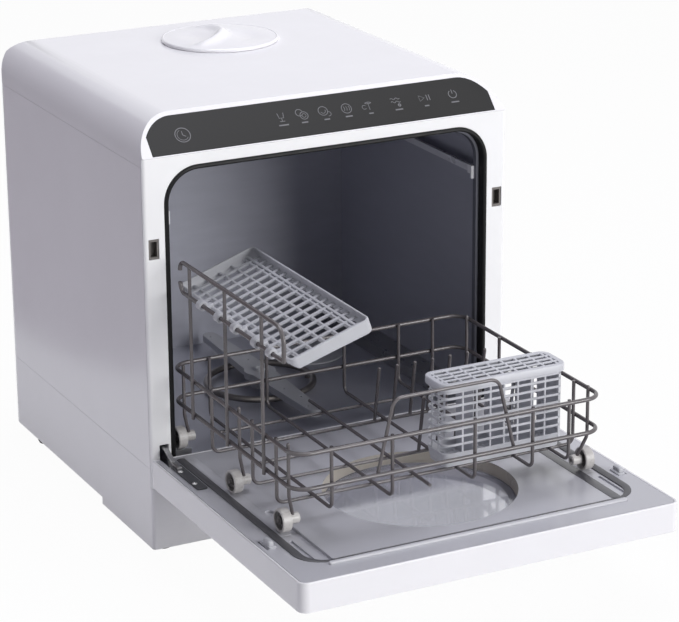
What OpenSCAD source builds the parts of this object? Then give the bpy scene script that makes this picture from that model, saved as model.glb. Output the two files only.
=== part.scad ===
// Countertop dishwasher, stored with its door open flat and its rack rolled out onto the door.
// Frame: X across the front (+X to the right of a user facing the door), Y from front to back,
// Z up. Origin on the table under the middle of the whole footprint, open door included.

/* [Cabinet] */
// Width of the cabinet and of the door
body_w = 420; // [400:5:440]
// Depth of the cabinet, from the front frame to the back panel
body_d = 420; // [400:5:440]
// Height from the table to the flat of the top cover
body_h = 470; // [460:2:480]
// Height of the rubber feet, which is the gap under the base
foot_h = 10; // [8:1:14]
// Wall thickness of the moulded covers and panels
shell_t = 3.5; // [3:0.5:4]
// Radius of the long rounded edges of the top cover
edge_r = 45; // [35:1:50]
// Radius of the cabinet's upright rear corners and of the top rear edge
rear_r = 24; // [16:2:30]

/* [Tub] */
// Clear width of the opening in the front frame
opening_w = 374; // [366:2:376]
// Height of the opening's top edge above the table
opening_top = 421; // [416:1:422]
// Radius of the opening's upper corners
opening_r = 38; // [30:1:45]
// Depth of the tub behind the front frame
tub_d = 340; // [336:2:346]

/* [Door] */
// Reach of the open door in front of the cabinet
door_len = 350; // [340:5:355]
// Thickness of the door
door_t = 31; // [28:1:34]
// Height of the open door's inner face above the table
door_top = 112; // [112:1:114]
// Radius of the round window
window_r = 99; // [80:1:105]

/* [Rack] */
// Half the width of the rack, to the middle of its side wires
rack_half = 172; // [168:1:173]
// How far the rack stands out in front of the cabinet
rack_out = 262; // [255:1:265]
// Length of the rack from front to back
rack_len = 290; // [280:2:296]
// Radius of the rack's rim wires
rim_r = 2.2; // [1.8:0.1:2.4]
// Radius of the rack's thinner wires
wire_r = 1.8; // [1.4:0.1:2]
// Tilt of the cup shelf above the level
shelf_tilt = 18.9; // [15:0.1:25]

/* [Hidden] */
$fn = 64;

// Places along Y: the footprint is the open door and the cabinet, centred on the origin.
front_y = door_len - (body_d + door_len) / 2;
back_y = front_y + body_d;
half_w = body_w / 2;
// Gap between parts that only lie beside each other, and hairline between the runs of a bent wire.
gap = 0.3;
hair = 0.02;

// Heights of the seams of the cabinet.
skirt_top = 100;
skirt_front_top = 78;
cover_seam = body_h - 46;
slant_low = body_h - 37;
slant_run = 36;
slant_angle = atan2(body_h - slant_low, slant_run);
front_r = 4;
rear_cut_z = 36;
rear_cut_y = 26;

// Tub: inner walls stand flush with the opening of the frame.
tub_t = 2;
tub_floor = 98;
tub_y0 = front_y + shell_t + gap;
arm_y = front_y + 180;
filter_x = 95;
filter_y = front_y + 252;
filter_r = 38;

// Door: its hinge axis runs along X.
hinge_y = front_y - 16;
hinge_z = door_top - 14;
door_gap = 2;
door_wall = 3;
liner_t = 7;
groove_x = 183;
groove_w = 6;
groove_front = 313;
window_y = front_y - 195;
hinge_x = 195;
hinge_slot_w = 13;
latch_x = 197;
latch_y = front_y - 254;
catch_x = 199.5;
catch_z = hinge_z + (hinge_y - latch_y) + 2;

// Rack heights.
rim_z = 201;
low_rim_z = 165;
floor_x_z = 134.5;
frame_top_z = 326;
rod_z = 293.5;
rack_front = front_y - rack_out;
rack_rear = rack_front + rack_len;
rack_corner_r = 18;
wheel_r = 12;
wheel_w = 10;
wheel_x = 171;
wheel_clear = 0.7;
wheel_z = door_top + wheel_clear + wheel_r;
wheel_ys = [front_y - 232, front_y - 121, front_y + 15];
axle_r = 2.5;
bore_fit = 0.06;

// Filler cap.
cap_x = 14;
cap_y = front_y + 300;
cap_r = 66;
neck_r = 50;

white = "#EDEEF4";
grey = "#B9BAC0";
dark = "#3A3A3C";
wire_colour = "#8C8582";

// ---------------------------------------------------------------- helpers

// Rounded rectangle around the origin, with true round corners.
module round_rect(w, h, r) {
    square([w - 2 * r, h], center = true);
    square([w, h - 2 * r], center = true);
    for (sx = [-1, 1], sy = [-1, 1])
        translate([sx * (w / 2 - r), sy * (h / 2 - r)]) circle(r = r);
}

// Box given by its low and high corners.
module box(low, high) {
    translate(low) cube(high - low);
}

// Straight wires along each axis, each starting at its given point.
module wire_x(p, len, r) {
    translate(p) rotate([0, 90, 0]) cylinder(r = r, h = len);
}
module wire_y(p, len, r) {
    translate(p) rotate([-90, 0, 0]) cylinder(r = r, h = len);
}
module wire_z(p, len, r) {
    translate(p) cylinder(r = r, h = len);
}

// Straight wire between two points.
module wire_between(a, b, r) {
    d = b - a;
    translate(a) rotate([0, acos(d[2] / norm(d)), atan2(d[1], d[0])]) cylinder(r = r, h = norm(d));
}

// Closed wire loop with rounded corners, level, between the two given corners.
module wire_loop(x1, y0, y1, bend_r, r, z) {
    for (s = [-1, 1]) {
        wire_y([s * x1, y0 + bend_r, z], y1 - y0 - 2 * bend_r, r);
        wire_x([-x1 + bend_r, s < 0 ? y0 : y1, z], 2 * (x1 - bend_r), r);
    }
    for (q = [[x1 - bend_r, y1 - bend_r, 0], [-x1 + bend_r, y1 - bend_r, 90],
              [-x1 + bend_r, y0 + bend_r, 180], [x1 - bend_r, y0 + bend_r, 270]])
        translate([q[0], q[1], z]) rotate([0, 0, q[2]])
            rotate_extrude(angle = 90) translate([bend_r, 0]) circle(r = r, $fn = 32);
}

// Both mirror images of a piece drawn on the right.
module both_sides() {
    children();
    mirror([1, 0, 0]) children();
}

// Extrudes a 2D outline drawn in X and Z along Y, from y0 to y1.
module along_y(y0, y1) {
    translate([0, y1, 0]) rotate([90, 0, 0]) linear_extrude(y1 - y0) children();
}

// Extrudes a 2D outline drawn in Y and Z along X, from x0 to x1.
module along_x(x0, x1) {
    translate([x0, 0, 0]) rotate([90, 0, 90]) linear_extrude(x1 - x0) children();
}

// ---------------------------------------------------------------- cabinet form

// Outline from the front: square base, long rounded edges at the top.
module front_outline(i) {
    r = edge_r;
    translate([-half_w + i, foot_h + i]) square([body_w - 2 * i, body_h - foot_h - r - i]);
    translate([-half_w + r, foot_h + i]) square([body_w - 2 * r, body_h - foot_h - 2 * i]);
    for (s = [-1, 1]) translate([s * (half_w - r), body_h - r]) circle(r = r - i, $fn = 96);
}

// Outline from the side: upright front, slanted panel, flat top, rear bottom cut away.
module side_outline(i) {
    a = slant_angle;
    slant_z = slant_low - i * cos(a) + i * (1 - sin(a)) * tan(a);
    slant_y = front_y + i * sin(a) + (body_h - i - slant_low + i * cos(a)) / tan(a);
    difference() {
        polygon([
            [front_y + i, foot_h + i], [front_y + i, slant_z], [slant_y, body_h - i],
            [back_y - i, body_h - i], [back_y - i, rear_cut_z + i / 2],
            [back_y - rear_cut_y - i / 2, foot_h + i]
        ]);
        translate([back_y - rear_r, body_h - rear_r]) difference() {
            square(rear_r + 1);
            circle(r = rear_r - i);
        }
    }
}

// Outline from above: small front corners, larger rear corners.
module plan_outline(i) {
    translate([-half_w + i, front_y + front_r]) square([body_w - 2 * i, body_d - front_r - rear_r]);
    translate([-half_w + front_r, front_y + i]) square([body_w - 2 * front_r, front_r * 2]);
    translate([-half_w + rear_r, back_y - 2 * rear_r]) square([body_w - 2 * rear_r, 2 * rear_r - i]);
    for (s = [-1, 1]) {
        translate([s * (half_w - front_r), front_y + front_r]) circle(r = front_r - i);
        translate([s * (half_w - rear_r), back_y - rear_r]) circle(r = rear_r - i);
    }
}

// Solid form of the cabinet, drawn in by i on every face.
module cabinet_form(i) {
    intersection() {
        along_y(front_y - 1, back_y + 1) front_outline(i);
        along_x(-half_w - 1, half_w + 1) side_outline(i);
        translate([0, 0, 0]) linear_extrude(body_h + 1) plan_outline(i);
    }
}

// Moulded wall of the cabinet, from which every cover and panel is cut.
module cabinet_shell() {
    difference() {
        cabinet_form(0);
        cabinet_form(shell_t);
    }
}

// Outline of the opening and of the tub, grown by g: round upper corners, square lower ones.
module opening_outline(g) {
    w = opening_w + 2 * g;
    r = opening_r + g;
    low = tub_floor - g;
    translate([-w / 2, low]) square([w, opening_top - opening_r - low]);
    translate([-w / 2 + r, low]) square([w - 2 * r, opening_top + g - low]);
    for (s = [-1, 1]) translate([s * (w / 2 - r), opening_top - opening_r]) circle(r = r, $fn = 96);
}

// Control strip on the slanted panel: its start and height up the slope, half its width, and its
// distance from the cabinet's round edges.
strip_low = 1.7;
strip_h = 44.6;
strip_reach = 197;
strip_edge = 4;

// Slab of the given depth over the control strip, larger than it by grow on every side.
module slant_slab(depth, grow) {
    intersection() {
        along_y(front_y - 1, front_y + slant_run + 20) front_outline(strip_edge - grow);
        translate([-half_w, front_y, slant_low]) rotate([slant_angle, 0, 0])
            translate([0, strip_low - grow, -depth]) cube([body_w, strip_h + 2 * grow, depth + 8]);
        box([-strip_reach - grow, front_y - 1, slant_low],
            [strip_reach + grow, front_y + 60, body_h - strip_edge + grow]);
    }
}

// ---------------------------------------------------------------- cabinet pieces

module top_cover() {
    color(white) difference() {
        cabinet_shell();
        box([-half_w - 1, front_y - 1, 0], [half_w + 1, back_y + 1, cover_seam + gap / 2]);
        box([-half_w - 1, front_y - 1, 0], [half_w + 1, front_y + shell_t + gap, slant_low]);
        slant_slab(2.2, gap);
        translate([cap_x, cap_y, body_h - 10]) cylinder(r = neck_r + 4, h = 20);
    }
}

// One side of the shell, between the seams, with its upright rear corner.
module side_panel(side) {
    x0 = side > 0 ? half_w - 30 : -half_w - 1;
    color(white) intersection() {
        cabinet_shell();
        box([x0, front_y + shell_t + gap, skirt_top + gap / 2],
            [x0 + 31, back_y + 1, cover_seam - gap / 2]);
    }
}
module left_side_panel() { side_panel(-1); }
module right_side_panel() { side_panel(1); }

// Places of the six screws of the back panel.
screw_spots = [for (x = [-165, 0, 165], z = [skirt_top + 14, cover_seam - 14]) [x, z]];
inlet_x = 120;
outlet_x = 70;
gland_x = -120;
port_z = 130;
fan_x = -110;
fan_z = 300;

module back_panel() {
    color(white) difference() {
        box([-half_w + 30 + gap, back_y - shell_t, skirt_top + gap / 2],
            [half_w - 30 - gap, back_y, cover_seam - gap / 2]);
        for (p = screw_spots) {
            wire_y([p[0], back_y - 5, p[1]], 10, 2.1);
            wire_y([p[0], back_y - 2.2, p[1]], 10, 4.4);
        }
        wire_y([inlet_x, back_y - 5, port_z], 10, 18);
        wire_y([outlet_x, back_y - 5, port_z], 10, 15);
        wire_y([gland_x, back_y - 5, port_z], 10, 7);
        for (k = [-4:4])
            box([fan_x - 28, back_y - 5, fan_z + 7 * k - 1.6], [fan_x + 28, back_y + 1, fan_z + 7 * k + 1.6]);
    }
}

// Places of the feet: under the lower lip of the skirt.
foot_spots = [for (sx = [-1, 1], y = [front_y + 28, back_y - 52]) [sx * 188, y]];

// Step along the lower side edges, behind the front feet: its start, height and depth.
step_y = front_y + 142;
step_h = 8;
step_in = 9;

module base_skirt() {
    color(white) {
        skirt_wall();
        both_sides() intersection() {
            cabinet_form(0);
            step_y0 = step_y - shell_t;
            in = half_w - step_in;
            union() {
                box([in - shell_t, step_y0, foot_h], [in, back_y, foot_h + step_h + shell_t]);
                box([in - 1, step_y0, foot_h + step_h], [half_w - 1, back_y, foot_h + step_h + shell_t]);
                box([in - 1, step_y0, foot_h], [half_w - 1, step_y, foot_h + step_h + shell_t]);
            }
        }
    }
}

module skirt_wall() {
    difference() {
        cabinet_shell();
        box([-half_w - 1, front_y - 1, skirt_top - gap / 2], [half_w + 1, back_y + 1, body_h + 1]);
        box([-half_w - 1, front_y - 1, skirt_front_top], [half_w + 1, front_y + shell_t + gap, body_h]);
        box([-172, front_y + 14, 0], [172, back_y - 36, 30]);
        for (p = foot_spots) translate([p[0], p[1], 0]) cylinder(r = 4.1, h = 30);
        both_sides() box([half_w - step_in, step_y, foot_h - 1], [half_w + 1, back_y + 1, foot_h + step_h]);
    }
}

module base_pan() {
    color(grey) difference() {
        union() {
            box([-197, front_y + 8, 14], [197, back_y - 40, 17]);
            for (x = [-130:65:130]) box([x - 1.5, front_y + 20, 16], [x + 1.5, back_y - 60, 21]);
        }
        for (p = foot_spots) translate([p[0], p[1], 0]) cylinder(r = 7, h = 30);
    }
}

module feet() {
    color(dark) for (p = foot_spots) translate([p[0], p[1], 0]) {
        cylinder(r1 = 8.5, r2 = 10, h = 3);
        translate([0, 0, 3]) cylinder(r = 10, h = foot_h - 3);
        translate([0, 0, foot_h - 1]) cylinder(r = 4, h = 7);
    }
}

module front_frame() {
    color(white) difference() {
        intersection() {
            cabinet_form(0);
            box([-half_w - 1, front_y - 1, skirt_front_top + gap], [half_w + 1, front_y + shell_t, slant_low - gap]);
        }
        along_y(front_y - 2, front_y + 10) opening_outline(0);
        both_sides() {
            box([catch_x - 5.7, front_y - 1, catch_z - 10.7], [catch_x + 5.7, front_y + 9, catch_z + 10.7]);
            box([hinge_x - 5, front_y - 1, hinge_z - 12], [hinge_x + 5, front_y + 9, hinge_z + 28]);
        }
    }
}

module control_glass() {
    color("#2B2B2D") intersection() {
        slant_slab(2, 0);
        cabinet_form(0);
    }
}

module control_board() {
    color("#2F5D3A") {
        box([-150, front_y + 20, cover_seam + 4], [150, front_y + 46, cover_seam + 5.6]);
        for (x = [-120:40:120]) box([x - 5, front_y + 28, cover_seam + 5.5], [x + 5, front_y + 38, cover_seam + 9]);
    }
}

module tub() {
    color("#7F8088") difference() {
        along_y(tub_y0, tub_y0 + tub_d) opening_outline(tub_t);
        along_y(tub_y0 - 1, tub_y0 + tub_d - tub_t) opening_outline(0);
        translate([0, arm_y, 80]) cylinder(r = 10.5, h = 40);
        translate([filter_x, filter_y, 80]) cylinder(r = filter_r + 1, h = 40);
        for (s = [-1, 1]) translate([s * 60, arm_y, 80]) cylinder(r = 4.6, h = 40);
        wire_y([0, tub_y0 + tub_d - 10, riser_z], 20, riser_r + gap);
    }
}

module door_seal() {
    color("#1B1B1D") difference() {
        along_y(front_y - 0.6, front_y + 9) opening_outline(-gap);
        along_y(front_y - 2, front_y + 12) opening_outline(-4.6);
        box([-half_w, front_y - 5, 0], [half_w, front_y + 20, door_top - 4]);
    }
}

rail_x = opening_w / 2 - gap;
rail_z = 365;
module upper_rails() {
    color("#8E8F96") both_sides() {
        box([rail_x - 11, front_y + 22, rail_z], [rail_x, front_y + 310, rail_z + 3]);
        box([rail_x - 11, front_y + 22, rail_z + 2], [rail_x - 9, front_y + 310, rail_z + 7]);
    }
}

module rail_end_clips() {
    color(white) both_sides() {
        box([rail_x - 11, front_y + 13, rail_z - 2], [rail_x, front_y + 21.7, rail_z + 7]);
        box([rail_x - 11, front_y + 13, rail_z - 7], [rail_x - 7, front_y + 16, rail_z - 1]);
    }
}

module lower_rails() {
    color("#8E8F96") both_sides() difference() {
        box([159, front_y + 12, tub_floor + gap], [rail_x, front_y + 330, door_top]);
        box([165, front_y + 16, tub_floor], [rail_x - 5, front_y + 326, door_top - 3]);
    }
}

module latch_catches() {
    color("#8A8A8C") both_sides() difference() {
        box([catch_x - 5.4, front_y + 1, catch_z - 10.4], [catch_x + 5.4, front_y + 14, catch_z + 10.4]);
        box([catch_x - 3.6, front_y, catch_z - 8], [catch_x + 3.6, front_y + 9, catch_z + 8]);
    }
}

// Steel plates that carry the hinge pins, outboard of the door's arms.
module hinge_brackets() {
    color("#9A9A9C") both_sides() difference() {
        union() {
            box([hinge_x + 2.6, hinge_y - 8, hinge_z - 8], [hinge_x + 4.6, front_y + 60, hinge_z + 8]);
            box([hinge_x + 2.6, front_y + 6, 24], [hinge_x + 4.6, front_y + 60, hinge_z]);
            box([hinge_x - 6, front_y + 20, 17.3], [hinge_x + 4.6, front_y + 60, 26]);
        }
        wire_x([hinge_x, hinge_y, hinge_z], 10, 2.95);
        box([hinge_x - 8, front_y + 22, 20], [hinge_x + 2.6, front_y + 58, 30]);
    }
}

module hinge_pins() {
    color("#C9C9CC") both_sides() {
        wire_x([hinge_x - 3, hinge_y, hinge_z], 7.6, 2.9);
        wire_x([hinge_x - 3.8, hinge_y, hinge_z], 0.9, 4);
    }
}

// Door counterbalance springs, between the tub and the side panels.
module door_springs() {
    color("#9C9C9E") both_sides() difference() {
        union() {
            wire_y([197, front_y + 70, 160], 120, 2);
            for (k = [0:14]) wire_y([197, front_y + 80 + 7 * k, 160], 3.4, 5);
        }
        wire_y([197, front_y + 60, 160], 140, 1.2);
    }
}

module filler_neck() {
    color(white) translate([cap_x, cap_y, 0]) difference() {
        union() {
            translate([0, 0, body_h - 26]) cylinder(r = neck_r + 3, h = 24);
            translate([0, 0, body_h - shell_t - 3.3]) cylinder(r = neck_r + 9, h = 3);
        }
        translate([0, 0, body_h - 24]) cylinder(r = neck_r, h = 40);
        translate([0, 0, body_h - 40]) cylinder(r = 14, h = 40);
    }
}

tank_top = body_h - 27;
module water_tank() {
    color("#D5D8DC") difference() {
        box([-150, front_y + 62, opening_top + tub_t + 1], [150, back_y - 14, tank_top]);
        box([-148, front_y + 64, opening_top + tub_t + 3], [148, back_y - 16, tank_top - 2]);
        translate([cap_x, cap_y, tank_top - 10]) cylinder(r = 14, h = 20);
    }
}

sump_top = tub_floor - tub_t - gap;
module sump() {
    color("#4A4A4E") difference() {
        union() {
            hull() {
                translate([0, arm_y, 46]) cylinder(r = 46, h = sump_top - 46, $fn = 32);
                translate([filter_x, filter_y, 46]) cylinder(r = 46, h = sump_top - 46, $fn = 32);
            }
            translate([0, arm_y, 60]) cylinder(r = 16, h = 30);
            wire_y([0, arm_y, feed_z], 56, riser_r + 3);
        }
        translate([filter_x, filter_y, 49]) cylinder(r = filter_r + 3, h = 80);
        translate([0, arm_y, 49]) cylinder(r = 10.5, h = 80);
        for (s = [-1, 1]) translate([s * 60, arm_y, 70]) cylinder(r = 5, h = 40);
        wire_y([0, arm_y + 30, feed_z], 40, riser_r + gap);
    }
}

// Fixed post that feeds and carries the lower spray arm.
module spray_spindle() {
    color(grey) translate([0, arm_y, 0]) difference() {
        union() {
            translate([0, 0, 52]) cylinder(r = 10, h = 108 - 52);
            translate([0, 0, 108]) cylinder(r = 6, h = 12);
        }
        translate([0, 0, 50]) cylinder(r = 4, h = 80);
    }
}

pump_y = arm_y - 84;
pump_z = 52;
module wash_pump() {
    color("#5B5D62") {
        wire_x([-120, pump_y, pump_z], 66, 27);
        wire_x([-54, pump_y, pump_z], 30, 31);
        wire_x([-24, pump_y, pump_z], 16, 13);
        wire_y([-39, pump_y + 24, pump_z], 22, 11);
    }
}

module drain_pump() {
    color("#5B5D62") {
        wire_y([120, pump_y - 20, 44], 48, 21);
        wire_y([120, pump_y + 28, 44], 14, 24);
        wire_y([120, pump_y + 42, 44], 22, 8);
    }
}

module heater() {
    color("#A9A9AC") translate([0, arm_y, 0]) {
        translate([0, 0, 104]) rotate_extrude() translate([60, 0]) circle(r = 3.6, $fn = 32);
        for (s = [-1, 1]) translate([s * 60, 0, 76]) cylinder(r = 3.6, h = 28);
    }
}

// Pipe from the sump, up behind the tub and forward through its back wall to the upper arm.
riser_r = 6;
riser_y = tub_y0 + tub_d + 10;
riser_z = 410;
feed_z = 68;
upper_arm_y = front_y + 172;
module spray_riser() {
    color(grey) difference() {
        union() {
            wire_y([0, arm_y + 40, feed_z], riser_y - arm_y - 40, riser_r);
            translate([0, riser_y, feed_z]) sphere(r = riser_r);
            wire_z([0, riser_y, feed_z], riser_z - feed_z, riser_r);
            translate([0, riser_y, riser_z]) sphere(r = riser_r);
            wire_y([0, upper_arm_y, riser_z], riser_y - upper_arm_y, riser_r);
            translate([0, upper_arm_y, riser_z - 14]) cylinder(r = riser_r, h = 14);
            translate([0, upper_arm_y, riser_z]) sphere(r = riser_r);
            translate([0, upper_arm_y, riser_z - 18]) cylinder(r = 9, h = 3);
            translate([0, upper_arm_y, riser_z - 16]) cylinder(r = riser_r, h = 8);
        }
        wire_z([0, riser_y, feed_z], riser_z - feed_z, 3.5);
    }
}

module inlet_valve() {
    color("#C8C9CC") difference() {
        union() {
            box([inlet_x - 16, back_y - 62, port_z - 16], [inlet_x + 16, back_y - 22, port_z + 16]);
            wire_y([inlet_x, back_y - 22 + hair, port_z], 21 - hair, 13.2);
        }
        wire_y([inlet_x, back_y - 22 + hair / 2, port_z], 24, 9);
    }
}

module drain_outlet() {
    color("#C8C9CC") difference() {
        union() {
            wire_y([outlet_x, back_y - 44, port_z], 43, 9);
            wire_y([outlet_x, back_y - 24, port_z], 4, 16);
            wire_y([outlet_x, back_y - 8, port_z], 3, 10);
        }
        wire_y([outlet_x, back_y - 50, port_z], 60, 6);
    }
}

module cable_gland() {
    color(dark) difference() {
        union() {
            wire_y([gland_x, back_y - 12, port_z], 11.6, 6.8);
            wire_y([gland_x, back_y - 9, port_z], 5, 10);
        }
        wire_y([gland_x, back_y - 20, port_z], 30, 3.6);
    }
}

module case_screws() {
    color("#A7A7AA") for (p = screw_spots) difference() {
        union() {
            wire_y([p[0], back_y - 14, p[1]], 12, 1.9);
            wire_y([p[0], back_y - 2.1, p[1]], 2, 4);
        }
        translate([p[0], back_y, p[1]]) cube([5, 1.6, 1], center = true);
        translate([p[0], back_y, p[1]]) cube([1, 1.6, 5], center = true);
    }
}

module fan_housing() {
    color(dark) difference() {
        box([fan_x - 32, back_y - 30, fan_z - 32], [fan_x + 32, back_y - 8, fan_z + 32]);
        wire_y([fan_x, back_y - 26, fan_z], 30, 29);
        for (k = [0:3]) rotate([0, 0, 0]) translate([fan_x, 0, fan_z]) rotate([0, 90 * k + 45, 0])
            wire_y([17, back_y - 40, 0], 30, 7);
        wire_y([fan_x, back_y - 40, fan_z], 30, 3);
    }
}

module fan_rotor() {
    color("#55565A") translate([fan_x, 0, fan_z]) {
        wire_y([0, back_y - 24, 0], 14, 10);
        wire_y([0, back_y - 29, 0], 6, 2.95);
        for (k = [0:6]) rotate([0, k * 360 / 7, 0]) translate([9, back_y - 22, -1])
            cube([17, 10, 2]);
    }
}

// ---------------------------------------------------------------- door

// Outline of the open door from above, drawn in by i, with round free corners.
module door_outline(i) {
    r = 10;
    y0 = front_y - door_len + i;
    y1 = front_y - door_gap - i;
    translate([-half_w + i, y0 + r - i]) square([body_w - 2 * i, y1 - y0 - r + i]);
    translate([-half_w + r, y0]) square([body_w - 2 * r, r]);
    for (s = [-1, 1]) translate([s * (half_w - r), y0 + r - i]) circle(r = r - i);
}

// Pockets at the door's hinge corners, where the arms and brackets pass.
module hinge_pockets() {
    both_sides() box([hinge_x - hinge_slot_w / 2, hinge_y - 12, 0],
        [hinge_x + hinge_slot_w / 2, front_y + 5, door_top + 20]);
}

module door_outer_panel() {
    z0 = door_top - door_t;
    color(white) difference() {
        translate([0, 0, z0]) linear_extrude(door_t) door_outline(0);
        translate([0, 0, z0 + door_wall]) linear_extrude(door_t) door_outline(door_wall);
        translate([0, window_y, z0 - 1]) cylinder(r = window_r - 8, h = 10);
        hinge_pockets();
    }
}

// Path of the gasket on the liner, as a 2D band of the given width around the groove's middle.
module gasket_band(w) {
    y1 = front_y - 14;
    y0 = front_y - groove_front;
    span = y1 - y0 + 60;
    difference() {
        translate([0, y0 + span / 2]) round_rect(2 * groove_x + w, span + w, 26 + w / 2);
        translate([0, y0 + span / 2]) round_rect(2 * groove_x - w, span - w, 26 - w / 2);
        translate([-half_w, y1]) square([body_w, 100]);
    }
}

module door_liner() {
    color("#C3C4CA") difference() {
        translate([0, 0, door_top - liner_t - 0.3]) linear_extrude(liner_t) door_outline(door_wall + gap);
        translate([0, 0, door_top - 4.3]) linear_extrude(10) gasket_band(groove_w);
        translate([0, window_y, door_top - 20]) cylinder(r = window_r, h = 30, $fn = 96);
        hinge_pockets();
        // blind channels beside the window and slits for the latch
        both_sides() {
            translate([161, front_y - 246, door_top - 3.3]) linear_extrude(10) round_rect(9, 140, 4.4);
            translate([174, front_y - 282, door_top - 2.3]) linear_extrude(10) round_rect(4, 56, 1.9);
            box([latch_x + 4.4, latch_y - 9, door_top - 3.3], [latch_x + 6, latch_y + 13, door_top + 1]);
            for (y = [-47, -83]) translate([hinge_x + 2.6, front_y + y, 0]) cylinder(r = 2.1, h = 200);
        }
    }
}

module window_ring() {
    color(white) translate([0, window_y, 0]) difference() {
        translate([0, 0, door_top - door_t + door_wall + 0.05]) cylinder(r = window_r - 0.4, h = 9.6, $fn = 96);
        translate([0, 0, 0]) cylinder(r = window_r - 9, h = 200);
    }
}

module window_glass() {
    color([0.75, 0.78, 0.82, 0.5]) translate([0, window_y, door_top - door_t + door_wall + 9.8])
        cylinder(r = window_r - 0.5, h = 5, $fn = 96);
}

module door_gasket() {
    color("#55565B") translate([0, 0, door_top - 4.2]) linear_extrude(3.6) gasket_band(groove_w - 0.6);
}

// Folded steel arms: a foot screwed to the liner, a web down to the pin.
module hinge_arms() {
    color("#A6A6A9") both_sides() difference() {
        union() {
            box([hinge_x - 6, front_y - 98, door_top], [hinge_x + 6, front_y - 30, door_top + 1.4]);
            box([hinge_x - 2.4, front_y - 60, door_top], [hinge_x - 0.4, hinge_y + 2, door_top + 6]);
            box([hinge_x - 2.4, hinge_y - 8, hinge_z], [hinge_x - 0.4, hinge_y + 8, door_top + 6]);
            wire_x([hinge_x - 2.4, hinge_y, hinge_z], 2, 8);
        }
        wire_x([hinge_x - 10, hinge_y, hinge_z], 20, 2.9 + bore_fit);
        for (y = [-47, -83]) translate([hinge_x + 2.6, front_y + y, 0]) cylinder(r = 2.1, h = 200);
    }
}

module hinge_screws() {
    color("#D0D0D3") both_sides() for (y = [-47, -83]) translate([hinge_x + 2.6, front_y + y, 0]) difference() {
        union() {
            translate([0, 0, door_top - 5]) cylinder(r = 1.9, h = 7);
            translate([0, 0, door_top + 1.45]) cylinder(r = 2.9, h = 1.8);
        }
        translate([0, 0, door_top + 3.2]) cube([4.2, 0.9, 1.8], center = true);
        translate([0, 0, door_top + 3.2]) cube([0.9, 4.2, 1.8], center = true);
    }
}

module latch_hooks() {
    color("#B5B6BC") both_sides() {
        box([latch_x - 4.5, latch_y - 9, door_top - 0.25], [latch_x + 3.6, latch_y + 9, door_top + 1.6]);
        box([latch_x - 0.6, latch_y - 6, door_top + 1.5], [latch_x + 3.4, latch_y + 3, door_top + 4.4]);
        box([latch_x - 0.6, latch_y - 6, door_top + 4.3], [latch_x + 3.4, latch_y + 6, door_top + 6.4]);
    }
}

// ---------------------------------------------------------------- rack

module rack_rims() {
    color(wire_colour) {
        wire_loop(rack_half, rack_front, rack_rear, rack_corner_r, rim_r, rim_z);
        wire_loop(rack_half, rack_front, rack_rear, rack_corner_r, rim_r, low_rim_z);
    }
}

// Level of the wires that run from front to back, lying on the ones that run across.
floor_y_z = floor_x_z + 2 * wire_r + hair;
bend_r = 8;
side_wire_x = rack_half - rim_r - wire_r + 0.1;
end_wire_in = rim_r + wire_r - 0.1;
// Wires bent up at both ends: places along the sides, and along the front and back.
side_spots = [rack_front + 49, rack_front + 103, rack_front + 199];
end_spots = [-131, -65, 27, 93, 135];
// Straight wires between them.
plain_x_spots = [rack_front + 151, rack_front + 247];
plain_y_x = -19;

module rack_floor_wires() {
    color(wire_colour) {
        for (y = side_spots) wire_x([-side_wire_x + bend_r, y, floor_x_z], 2 * (side_wire_x - bend_r), wire_r);
        for (y = plain_x_spots) wire_x([-138, y, floor_x_z], 276, wire_r);
        for (x = concat(end_spots, [plain_y_x]))
            wire_y([x, rack_front + end_wire_in + bend_r, floor_y_z],
                rack_len - 2 * end_wire_in - 2 * bend_r, wire_r);
    }
}

// Upright with a quarter bend at its foot, standing at the origin and turning towards +X.
module upright(z0, z1) {
    wire_z([0, 0, z0 + bend_r], z1 - z0 - bend_r, wire_r);
    translate([bend_r, 0, z0 + bend_r]) rotate([90, 0, 0]) rotate([0, 0, 180])
        rotate_extrude(angle = 90) translate([bend_r, 0]) circle(r = wire_r, $fn = 32);
}

module rack_uprights() {
    color(wire_colour) {
        for (y = side_spots) both_sides() translate([-side_wire_x, y, 0]) upright(floor_x_z, rim_z + 2);
        for (x = end_spots) {
            translate([x, rack_front + end_wire_in, 0]) rotate([0, 0, 90]) upright(floor_y_z, rim_z + 2);
            translate([x, rack_rear - end_wire_in, 0]) rotate([0, 0, -90]) upright(floor_y_z, rim_z + 2);
        }
    }
}

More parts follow.
